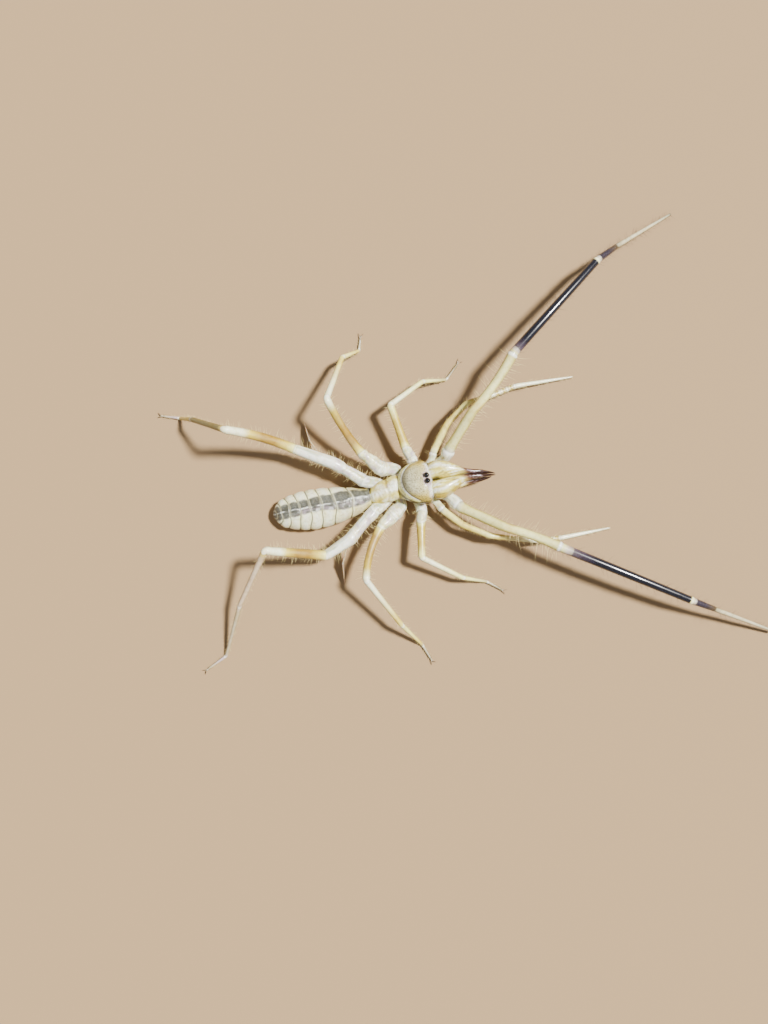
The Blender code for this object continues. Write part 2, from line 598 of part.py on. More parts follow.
def limb(name):
    """Makes the four nodes of a limb: base, patella, tibia and tarsus."""
    spec = LIMBS[name]
    joints = limb_joints(spec)
    extra = len(spec.segments) - 6
    base = joints[:3 + extra]
    knee_joints = joints[2 + extra:]
    start = direction(spec.segments[0], spec.hip[2])
    at_patella = mitre(base[-2], base[-1], knee_joints[1])
    at_tibia = mitre(knee_joints[0], knee_joints[1], knee_joints[2])
    at_tarsus = mitre(knee_joints[1], knee_joints[2], knee_joints[3])
    widths = spec.widths

    path = [base[0], base[0].lerp(base[1], BULB_PLACE), base[1]]
    path += [base[1].lerp(base[2], part) for part in (0.3, 0.65)]
    path += [base[2]] if not extra else [base[2], base[2].lerp(base[3], 0.5), base[3]]
    base_widths = spread_widths(widths["base"], len(path) - 1)
    femur = limb_piece(path, base_widths, start, at_patella)
    mesh_object(name + "_base", femur, material("femur_white", WAX_WHITE, 0.35))
    if name.startswith("leg4"):
        side = 1.0 if name.endswith("left") else -1.0
        under = Vector((0, 0, -MALLEOLUS_SEAT * widths["base"][2]))
        for number, sizes in enumerate(MALLEOLI, 1):
            spot = sizes[0] * (len(path) - 1)
            root = path[int(spot)].lerp(path[int(spot) + 1], spot - int(spot)) + under
            room = limb_piece(path, base_widths + 2 * GAP / MM, start, at_patella)
            malleolus(f"{name}_organ{number}", root, side, sizes, room)

    sweep = bent(knee_joints[0], knee_joints[1], 6, -spec.bow, 0.0)
    patella = limb_piece(sweep, spread_widths(widths["patella"], 6), at_patella, at_tibia)
    mesh_object(name + "_patella", patella, material("patella_ochre", OCHRE, 0.4))

    sweep = bent(knee_joints[1], knee_joints[2], 6, 0.0, spec.arch)
    tibia = limb_piece(sweep, spread_widths(widths["tibia"], 6), at_tibia, at_tarsus)
    dark = material("palp_black", BLUE_BLACK, 0.2)
    pale = material("shank_white", WAX_WHITE, 0.3)
    mesh_object(name + "_tibia", tibia, dark if spec.palp else pale)

    ankle, foot, tip = knee_joints[2:]
    path = [ankle, ankle.lerp(foot, 0.5), foot, foot.lerp(tip, 0.5), tip]
    tarsus = limb_piece(path, widths["tarsus"], at_tarsus, None)
    shapes = [tarsus]
    if not spec.palp and not name.startswith("leg1"):
        shapes += claws(tip, tip - foot)
    finish = material("foot_grey", GREY_BROWN, 0.4)
    if len(shapes) > 1:
        made = fuse(name + "_tarsus", shapes, finish)
        shape = bmesh.new()
        shape.from_mesh(made.data)
        bpy.data.objects.remove(made)
        tarsus = shape
    trim(tarsus, Vector((0, 0, 0)), Vector((0, 0, -1)))
    mesh_object(name + "_tarsus", tarsus, finish)


def main():
    """Builds every piece, gathers them and sets the body frame in its place."""
    for thing in list(bpy.data.objects):
        bpy.data.objects.remove(thing)
    abdomen()
    thorax()
    head_shield()
    eyes()
    for word, side in (("left", 1), ("right", -1)):
        jaw(word, side)
    for name in LIMBS:
        limb(name)
    animal = bpy.data.collections.new("camel_spider")
    bpy.context.scene.collection.children.link(animal)
    whole = bpy.data.objects.new("whole", None)
    whole.location = PLACE
    animal.objects.link(whole)
    for thing in list(bpy.data.objects):
        if thing.type == "MESH":
            thing.parent = whole
            if not thing.hide_render:
                animal.objects.link(thing)
                bpy.context.scene.collection.objects.unlink(thing)


main()
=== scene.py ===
import logging
import math
from dataclasses import dataclass, field
from enum import Enum
from functools import cache

import bpy
import numpy as np
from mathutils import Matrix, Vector


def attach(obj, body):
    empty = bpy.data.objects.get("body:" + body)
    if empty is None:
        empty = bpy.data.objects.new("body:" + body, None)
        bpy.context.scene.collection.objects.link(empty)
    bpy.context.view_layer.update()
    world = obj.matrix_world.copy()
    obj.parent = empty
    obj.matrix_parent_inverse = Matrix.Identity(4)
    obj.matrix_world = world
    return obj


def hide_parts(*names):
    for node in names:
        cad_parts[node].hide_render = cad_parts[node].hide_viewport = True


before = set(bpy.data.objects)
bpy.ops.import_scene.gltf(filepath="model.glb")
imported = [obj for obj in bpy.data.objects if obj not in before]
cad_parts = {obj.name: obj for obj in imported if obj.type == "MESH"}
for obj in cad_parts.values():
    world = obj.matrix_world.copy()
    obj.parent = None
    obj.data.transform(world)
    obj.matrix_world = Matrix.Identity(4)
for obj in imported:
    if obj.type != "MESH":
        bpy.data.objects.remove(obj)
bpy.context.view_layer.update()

# Camel spider: the skins, plates, jaws, eyes, claws and hairs of the still model.
# Lengths are millimetres in the body frame until a mesh is made: its origin lies on the floor
# under the middle of the head shield's rear edge, x runs to the jaws, y to the animal's left and
# z up. PLACE sets that frame in the model's own, which is in metres.

log = logging.getLogger("camel_spider")

MM = 0.001
PLACE = np.array((-12.54, -0.7, 0.0))
BODY = "root"
Array = np.ndarray


class Side(Enum):
    """The two sides of the body; the value is the sign of y."""

    LEFT = 1
    RIGHT = -1

    @property
    def word(self) -> str:
        """The side's name as the nodes have it."""
        return self.name.lower()


class Pattern(Enum):
    """Small marks over a skin's tint; the value is where on the noise they start and are full."""

    PLAIN = ()
    FRECKLED = (0.53, 0.63)
    STREAKED = (0.5, 0.8)
    MOTTLED = (0.45, 0.75)


def srgb(red: float, green: float, blue: float) -> tuple[float, float, float]:
    """The linear colour of three screen values from 0 to 255."""
    return tuple(float(((value / 255 + 0.055) / 1.055) ** 2.4) for value in (red, green, blue))


IVORY = srgb(240, 235, 146)
HIDE_CREAM = srgb(244, 242, 184)
CREAM = srgb(217, 193, 76)
WAX_WHITE = srgb(252, 252, 216)
COOL_WHITE = srgb(250, 253, 246)
PALE_YELLOW = srgb(192, 166, 44)
PALE_GREEN = srgb(206, 196, 100)
OCHRE = srgb(158, 120, 16)
OLIVE = srgb(106, 92, 44)
EDGE_YELLOW = srgb(134, 112, 26)
STREAK_GREEN = srgb(166, 184, 156)
SHIELD_GREY = srgb(186, 181, 146)
SHIELD_OCHRE = srgb(148, 128, 58)
MARGIN_BROWN = srgb(60, 48, 14)
SHIELD_SHADE = srgb(62, 55, 30)
PLATE_GREY = srgb(80, 80, 74)
PLATE_LIGHT = srgb(114, 115, 100)
PLATE_DARK = srgb(46, 45, 38)
GROOVE_GREY = srgb(58, 57, 50)
MAROON = srgb(68, 37, 26)
DEEP_MAROON = srgb(40, 19, 12)
ROSE = srgb(142, 100, 68)
VIOLET = srgb(70, 55, 72)
DUSK = srgb(47, 39, 50)
LILAC = srgb(188, 167, 178)
RING_CREAM = srgb(236, 226, 130)
BLUSH = srgb(200, 176, 148)
SMOKE = srgb(75, 58, 38)
BLUE_BLACK = srgb(20, 20, 30)
PALE_GREY = srgb(174, 160, 130)
GREY_BROWN = srgb(78, 61, 38)
MAUVE = srgb(150, 124, 112)
HAIR_PALE = srgb(232, 212, 146)
HAIR_DARK = srgb(84, 68, 50)
EYE_BLACK = srgb(10, 9, 12)
FLOOR_TAN = srgb(158, 130, 94)


def noise(rows: Array, scale: float, seed: int) -> Array:
    """A soft random value from -1 to 1 at each place: a sum of sine waves in random directions.

    Args:
        rows: places, one row of three numbers each, in mm.
        scale: the length in mm over which the value changes.
        seed: which of the patterns.

    Returns:
        One value for each row.
    """
    rng = np.random.default_rng(seed)
    ways = rng.normal(size=(12, 3)) / scale * 1.6
    phases = rng.uniform(0, 2 * np.pi, 12)
    return np.sin(rows @ ways.T + phases).sum(axis=-1) / 5.0


def smooth(values: Array, count: int) -> Array:
    """Rounds a row of values by a Hann window of count places, with its ends held."""
    if count < 2:
        return values
    window = np.hanning(count + 2)[1:-1]
    window = window / window.sum()
    ahead = count // 2
    ends = [(ahead, count - 1 - ahead)] + [(0, 0)] * (values.ndim - 1)
    padded = np.pad(values, ends, "reflect", reflect_type="odd")
    if values.ndim == 1:
        return np.convolve(padded, window, "valid")
    columns = [np.convolve(padded[:, column], window, "valid") for column in range(values.shape[1])]
    return np.stack(columns, axis=1)


def bump(values: Array, centre: float, width: float) -> Array:
    """A bell curve of height 1 round a centre."""
    return np.exp(-(((values - centre) / width) ** 2))


def step(values: Array, edge: float, width: float) -> Array:
    """A soft step from 0 to 1 across an edge."""
    return 1 / (1 + np.exp(-np.clip((values - edge) / width * 4, -40, 40)))


def layered(ground: tuple | Array, *coats: tuple) -> Array:
    """A ground colour with others laid over it in turn, each mixed in by a weight.

    Args:
        ground: one colour, or one at each place.
        coats: pairs of a colour and its weight at each place, the lowest first.

    Returns:
        The colours.
    """
    tint = np.asarray(ground)
    for colour, weight in coats:
        share = np.clip(weight, 0, 1)[..., None]
        tint = tint * (1 - share) + np.asarray(colour) * share
    return tint


def unit(rows: Array) -> Array:
    """Rows of vectors brought to length 1."""
    return rows / np.maximum(np.linalg.norm(rows, axis=-1, keepdims=True), 1e-9)


def circle(sides: int, start: float = 0.0) -> tuple[Array, Array]:
    """Cosine and sine of even turns round a ring, from a start in radians."""
    turn = np.linspace(0, 2 * np.pi, sides, endpoint=False) + start
    return np.cos(turn), np.sin(turn)


def placed(name: str, data: bpy.types.ID) -> bpy.types.Object:
    """A new object of the scene that holds the data."""
    made = bpy.data.objects.new(name, data)
    bpy.context.scene.collection.objects.link(made)
    return made


def wire(tree: bpy.types.NodeTree, node: bpy.types.Node | str, inputs: dict,
         **settings: str) -> bpy.types.Node:
    """Fills a node's inputs: one that is given a socket is linked and any other is set.

    Args:
        tree: the material's node tree.
        node: the node, or the kind of a new one.
        inputs: sockets or values by the input's name or number.
        settings: the node's own fields.

    Returns:
        The node.
    """
    made = tree.nodes.new(f"ShaderNode{node}") if isinstance(node, str) else node
    for key, value in settings.items():
        setattr(made, key, value)
    for key, value in inputs.items():
        if isinstance(value, bpy.types.NodeSocket):
            tree.links.new(value, made.inputs[key])
        else:
            made.inputs[key].default_value = value
    return made


@dataclass(frozen=True)
class Finish:
    """A waxy, glossy or dull skin whose tint comes from the mesh's own colours.

    Attributes:
        name: the material's name.
        slot: the slot of the record that it answers to; not used.
        pattern: the small marks over the tint.
        roughness: how dull the surface is.
        coat: weight of the thin clear layer on top.
        depth: how strongly light runs under the skin.
        mark: colour of the small marks.
        grain: length in mm of the marks.
        relief: height in mm of the fine bump.
    """

    name: str
    slot: str
    pattern: Pattern = Pattern.PLAIN
    roughness: float = 0.4
    coat: float = 0.2
    depth: float = 0.25
    mark: tuple = OLIVE
    grain: float = 0.3
    relief: float = 0.02

    FINE = 0.35
    CORE_REACH = 0.6

    @cache
    def material(self) -> bpy.types.Material:
        """Builds the node tree: tint, marks over it, uneven gloss and a fine bump."""
        made = bpy.data.materials.new(self.name)
        made.use_nodes = True
        tree = made.node_tree
        colour = wire(tree, "Attribute", {}, attribute_name="Tint").outputs["Color"]
        if self.pattern is not Pattern.PLAIN:
            colour = self._marks(tree, colour)
        place = wire(tree, "TexCoord", {}).outputs["Object"]
        fine = wire(tree, "TexNoise", {"Vector": place, "Scale": 1 / (self.FINE * MM),
                                       "Detail": 3.0}).outputs["Fac"]
        gloss = wire(tree, "MapRange", {"Value": fine, "To Min": max(self.roughness - 0.1, 0.03),
                                        "To Max": self.roughness + 0.12})
        bump_node = wire(tree, "Bump", {"Height": fine, "Strength": 0.5,
                                        "Distance": self.relief * MM})
        wire(tree, tree.nodes["Principled BSDF"], {
            "Base Color": colour, "Roughness": gloss.outputs["Result"],
            "Normal": bump_node.outputs["Normal"], "Coat Weight": self.coat,
            "Coat Roughness": 0.12, "Subsurface Weight": self.depth,
            "Subsurface Radius": (1.0, 0.75, 0.45), "Subsurface Scale": self.CORE_REACH * MM})
        return made

    def _marks(self, tree: bpy.types.NodeTree,
               colour: bpy.types.NodeSocket) -> bpy.types.NodeSocket:
        """Mixes the small marks over a colour: streaks lie along the limb, others on the object.

        Args:
            tree: the material's node tree.
            colour: the tint that the marks lie on.

        Returns:
            The marked colour.
        """
        if self.pattern is Pattern.STREAKED:
            place = wire(tree, "Attribute", {}, attribute_name="Lie").outputs["Vector"]
            scale = 1 / self.grain
        else:
            place = wire(tree, "TexCoord", {}).outputs["Object"]
            scale = 1 / (self.grain * MM)
        grain = wire(tree, "TexNoise", {"Vector": place, "Scale": scale, "Detail": 4.0})
        ramp = wire(tree, "ValToRGB", {"Fac": grain.outputs["Fac"]})
        for number, position in enumerate(self.pattern.value):
            ramp.color_ramp.elements[number].position = position
            ramp.color_ramp.elements[number].color = (number, number, number, 1)
        mix = wire(tree, "Mix", {"Factor": ramp.outputs["Color"], 6: colour, 7: (*self.mark, 1.0)},
                   data_type="RGBA", blend_type="MULTIPLY")
        return mix.outputs[2]


@dataclass
class Sheet:
    """Points of a surface with their tints, ready to be made a mesh.

    Attributes:
        places: one row of three for each point, in mm.
        quads: four point numbers for each face.
        tris: three point numbers for each face.
        tint: one linear colour for each point.
        lie: where each point lies along and round its limb, in mm; else its place.
        patch: the point's place in the coat's own map, from 0 to 1.
    """

    places: Array
    quads: Array
    tris: Array
    tint: Array
    lie: Array | None = None
    patch: Array | None = None

    def __post_init__(self) -> None:
        """Lets the lie be the place where none is given."""
        if self.lie is None:
            self.lie = self.places

    @staticmethod
    def joined(sheets: list["Sheet"]) -> "Sheet":
        """Several surfaces as one, with their point numbers shifted."""
        starts = np.cumsum([0] + [len(sheet.places) for sheet in sheets[:-1]])
        names = ["places", "tint", "lie"] + ["patch"] * all(s.patch is not None for s in sheets)
        rows = {name: np.concatenate([getattr(s, name) for s in sheets]) for name in names}
        faces = {name: np.concatenate([getattr(s, name) + start
                                       for s, start in zip(sheets, starts)])
                 for name in ("quads", "tris")}
        return Sheet(**rows, **faces)

    def mesh_object(self, name: str, finish: Finish, *nodes: str) -> bpy.types.Object:
        """Makes the surface a smooth shaded object of the model, riding on the body.

        Args:
            name: the object's name.
            finish: what it is dressed in.
            nodes: the solids' nodes that it takes the place of.

        Returns:
            The new object.
        """
        mesh = bpy.data.meshes.new(name)
        mesh.vertices.add(len(self.places))
        mesh.vertices.foreach_set("co", ((self.places + PLACE) * MM).astype(np.float32).ravel())
        corners = np.concatenate([self.quads.ravel(), self.tris.ravel()]).astype(np.int32)
        counts = np.concatenate([np.full(len(self.quads), 4), np.full(len(self.tris), 3)])
        starts = np.concatenate([[0], np.cumsum(counts)[:-1]]).astype(np.int32)
        mesh.loops.add(len(corners))
        mesh.loops.foreach_set("vertex_index", corners)
        mesh.polygons.add(len(counts))
        mesh.polygons.foreach_set("loop_start", starts)
        mesh.update(calc_edges=True)
        tint = mesh.color_attributes.new(name="Tint", type="FLOAT_COLOR", domain="POINT")
        rgba = np.concatenate([np.clip(self.tint, 0, 1), np.ones((len(self.tint), 1))], axis=1)
        tint.data.foreach_set("color", rgba.astype(np.float32).ravel())
        lie = mesh.attributes.new(name="Lie", type="FLOAT_VECTOR", domain="POINT")
        lie.data.foreach_set("vector", self.lie.astype(np.float32).ravel())
        if self.patch is not None:
            layer = mesh.uv_layers.new(name="OFBake")
            layer.data.foreach_set("uv", self.patch[corners].astype(np.float32).ravel())
        mesh.validate()
        mesh.shade_smooth()
        mesh.materials.append(finish.material())
        made = placed(name, mesh)
        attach(made, BODY)
        if nodes:
            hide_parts(*nodes)
        log.info("%s: %d points, %d faces", name, len(self.places), len(counts))
        return made


def closed_rings(rings: Array, tint: Array, lie: Array | None = None) -> Sheet:
    """A closed skin over rings of points: quads between rings, a pole at each end.

    Args:
        rings: points in mm, by ring, by place on the ring, by axis.
        tint: colours in the same order.
        lie: places along and round the limb in the same order, if any.

    Returns:
        The surface.
    """
    count, round_count = rings.shape[:2]
    index = np.arange(count * round_count).reshape(count, round_count)
    after = np.roll(index, -1, axis=1)
    quads = np.stack([index[:-1], after[:-1], after[1:], index[1:]], axis=-1).reshape(-1, 4)
    first, last = count * round_count, count * round_count + 1
    front = np.stack([np.full(round_count, first), after[0], index[0]], axis=-1)
    back = np.stack([np.full(round_count, last), index[-1], after[-1]], axis=-1)

    def with_poles(rows: Array) -> Array:
        """Flattens a grid of rows and adds the mean of its first and last ring."""
        ends = np.stack([rows[0].mean(axis=0), rows[-1].mean(axis=0)])
        return np.concatenate([rows.reshape(-1, rows.shape[-1]), ends])

    return Sheet(with_poles(rings), quads, np.concatenate([front, back]), with_poles(tint),
                 None if lie is None else with_poles(lie))


def arc_length(path: Array) -> Array:
    """How far each point of a path lies along it."""
    return np.concatenate([[0.0], np.cumsum(np.linalg.norm(np.diff(path, axis=0), axis=1))])


def even_path(points: Array, spacing: float, rounding: float) -> tuple[Array, Array]:
    """A path through points, read at even spacing and rounded at its corners.

    Args:
        points: the corners in mm.
        spacing: distance between the new points.
        rounding: length over which a corner is rounded.

    Returns:
        The new points, and how far each lies along the cornered path.
    """
    lengths = arc_length(points)
    count = max(int(lengths[-1] / spacing), 8)
    along = np.linspace(0, lengths[-1], count)
    path = np.stack([np.interp(along, lengths, points[:, axis]) for axis in range(3)], axis=1)
    return smooth(path, max(int(rounding / spacing), 1)), along


def tube_frames(path: Array) -> tuple[Array, Array, Array]:
    """The way, the level side and the upper side of a path at each of its points."""
    way = unit(np.gradient(path, axis=0))
    side = unit(np.stack([way[:, 1], -way[:, 0], np.zeros(len(way))], axis=1))
    return way, side, np.cross(side, way)


def tube_rings(path: Array, radius: Array, sides: int) -> tuple[Array, Array]:
    """Rings round a path: each point is the centre plus its radius times cos and sin of a turn.

    Args:
        path: centres in mm.
        radius: one for each centre.
        sides: points on a ring.

    Returns:
        The rings, and for each point its place along and round the tube in mm.
    """
    _, side, up = tube_frames(path)
    across, rise = circle(sides)
    rings = path[:, None] + radius[:, None, None] * (across[:, None] * side[:, None]
                                                     + rise[:, None] * up[:, None])
    along = np.repeat(arc_length(path)[:, None], sides, axis=1)
    lie = np.stack([along, radius[:, None] * across, radius[:, None] * rise], axis=-1)
    return rings, lie


@dataclass(frozen=True)
class Segment:
    """One length of a limb: how long it is, where it heads in plan and where it ends."""

    length: float
    heading: float
    end_height: float


@dataclass(frozen=True)
class LimbStyle:
    """What one kind of limb has on both sides.

    Attributes:
        widths: thicknesses in mm along each part.
        stops: for each segment, colours and where they lie, from 0 at its root to 1 at its end.
        claws: whether its foot has the two claws.
        sides: points on a ring of its skin.
        warm_from: the segment from which its skin is yellow.
        rounding: length in mm over which a joint is rounded.
        seams: segments that start with a ring.
        slant: how far the colours on top run ahead, in mm.
        glow: weight of the painted highlight, the pale line on top of the yellow stretch.
    """

    widths: dict
    stops: dict
    claws: bool = True
    sides: int = 24
    warm_from: str = "patella"
    rounding: float = 1.3
    seams: tuple = ("femur", "patella", "tibia", "metatarsus", "foot")
    slant: float = 0.7
    glow: float = 0.08


SEGMENT_NAMES = ("trochanter", "femur", "patella", "tibia", "metatarsus", "foot")
SEGMENT_NAMES_4 = ("trochanter", "femur", "femur2", "patella", "tibia", "metatarsus", "foot")
PARTS = ("base", "patella", "tibia", "tarsus")
BASE_PARTS = {"trochanter": (0.0, 0.6, 1.0), "femur": (0.3, 0.65, 1.0), "femur2": (0.5, 1.0)}
HIP_STOPS = {"coxa": ((0.0, IVORY),), "trochanter": ((0.0, COOL_WHITE),)}
FOOT_STOPS = {"foot": ((0.0, PALE_GREY), (1.0, GREY_BROWN))}


def palp_style(fade: float) -> LimbStyle:
    """The pedipalp's look; fade is the share of its tibia that passes before full black."""
    return LimbStyle(
        {"base": (2.1, 3.0, 1.95, 2.2, 2.0), "patella": (1.9, 1.8, 2.1),
         "tibia": (1.9, 1.75, 1.55), "tarsus": (1.45, 1.3, 1.05, 0.8, 0.55)},
        {"coxa": ((0.0, IVORY),), "trochanter": ((0.0, COOL_WHITE), (0.9, COOL_WHITE)),
         "femur": ((0.1, PALE_GREEN), (0.95, PALE_GREEN)),
         "patella": ((0.1, CREAM), (0.3, IVORY), (0.945, PALE_GREEN), (0.965, COOL_WHITE)),
         "tibia": ((0.0, COOL_WHITE), (0.01, IVORY), (0.2 * fade, LILAC), (0.34 * fade, VIOLET),
                   (fade, BLUE_BLACK), (0.972, BLUE_BLACK), (0.978, RING_CREAM), (1.0, RING_CREAM)),
         "metatarsus": ((0.04, LILAC), (0.12, DUSK), (0.5, DUSK), (0.95, SMOKE)),
         "foot": ((0.1, PALE_GREY), (0.6, PALE_GREY), (1.0, GREY_BROWN))},
        claws=False, sides=28, warm_from="femur", rounding=3.2,
        seams=("femur", "tibia", "metatarsus"), slant=0.0, glow=0.32)


def leg4_style(shank: tuple, ankle: tuple) -> LimbStyle:
    """The fourth leg's look, with its tibia and metatarsus tinted as given."""
    return LimbStyle(
        {"base": (2.3, 2.6, 2.5, 2.6, 2.0), "patella": (2.0, 1.9, 1.65),
         "tibia": (1.35, 1.15, 1.05), "tarsus": (1.0, 0.8, 0.65, 0.55, 0.55)},
        HIP_STOPS | {
            "femur2": ((0.8, COOL_WHITE),),
            "patella": ((0.02, IVORY), (0.12, CREAM), (0.28, OCHRE), (0.48, OCHRE), (0.64, CREAM),
                        (0.74, WAX_WHITE), (0.95, WAX_WHITE)),
            "tibia": ((0.0, CREAM), (0.08, shank), (0.95, shank)),
            "metatarsus": ((0.1, ankle), (0.9, ankle)),
            "foot": ((0.05, LILAC), (0.7, PALE_GREY), (1.0, GREY_BROWN))})


LEG1_STYLE = LimbStyle(
    {"base": (1.4, 1.6, 1.4, 1.5, 1.4), "patella": (1.4, 1.3, 1.35),
     "tibia": (1.2, 1.05, 1.05), "tarsus": (1.05, 1.1, 1.0, 0.75, 0.5)},
    {"coxa": ((0.0, IVORY),), "trochanter": ((0.0, WAX_WHITE),), "femur": ((0.2, IVORY),),
     "patella": ((0.2, CREAM), (0.9, IVORY)), "tibia": ((0.2, CREAM),),
     "metatarsus": ((0.0, WAX_WHITE), (0.16, PALE_YELLOW), (0.3, WAX_WHITE), (0.46, PALE_YELLOW),
                    (0.6, WAX_WHITE), (0.78, PALE_YELLOW)),
     "foot": ((0.0, WAX_WHITE), (0.5, WAX_WHITE), (1.0, PALE_GREY))},
    claws=False, sides=20, warm_from="femur", rounding=3.2, seams=("femur", "foot"), slant=0.0)
LEG2_STYLE = LimbStyle(
    {"base": (1.9, 2.4, 2.0, 2.1, 2.0), "patella": (1.9, 1.6, 1.5),
     "tibia": (1.25, 1.1, 1.0), "tarsus": (0.95, 0.75, 0.6, 0.55, 0.55)},
    HIP_STOPS | FOOT_STOPS | {
        "femur": ((0.5, WAX_WHITE),),
        "patella": ((0.02, IVORY), (0.12, PALE_YELLOW), (0.6, PALE_YELLOW), (0.85, IVORY)),
        "tibia": ((0.1, WAX_WHITE), (0.9, IVORY)), "metatarsus": ((0.2, IVORY),)})
LEG3_STYLE = LimbStyle(
    {"base": (2.4, 3.2, 2.9, 2.6, 2.0), "patella": (1.9, 1.5, 1.55),
     "tibia": (1.3, 1.15, 1.05), "tarsus": (1.0, 0.8, 0.65, 0.55, 0.55)},
    HIP_STOPS | FOOT_STOPS | {
        "femur": ((0.5, WAX_WHITE),),
        "patella": ((0.0, IVORY), (0.06, CREAM), (0.18, OCHRE), (0.45, OCHRE),
                    (0.75, PALE_YELLOW), (0.93, WAX_WHITE)),
        "tibia": ((0.1, WAX_WHITE), (0.85, CREAM)), "metatarsus": ((0.1, IVORY), (0.8, CREAM))})


def spot(spans: dict, name: str, part: float) -> float:
    """How far along a limb a part of one of its segments lies, in mm."""
    start, end = spans[name]
    return start + part * (end - start)


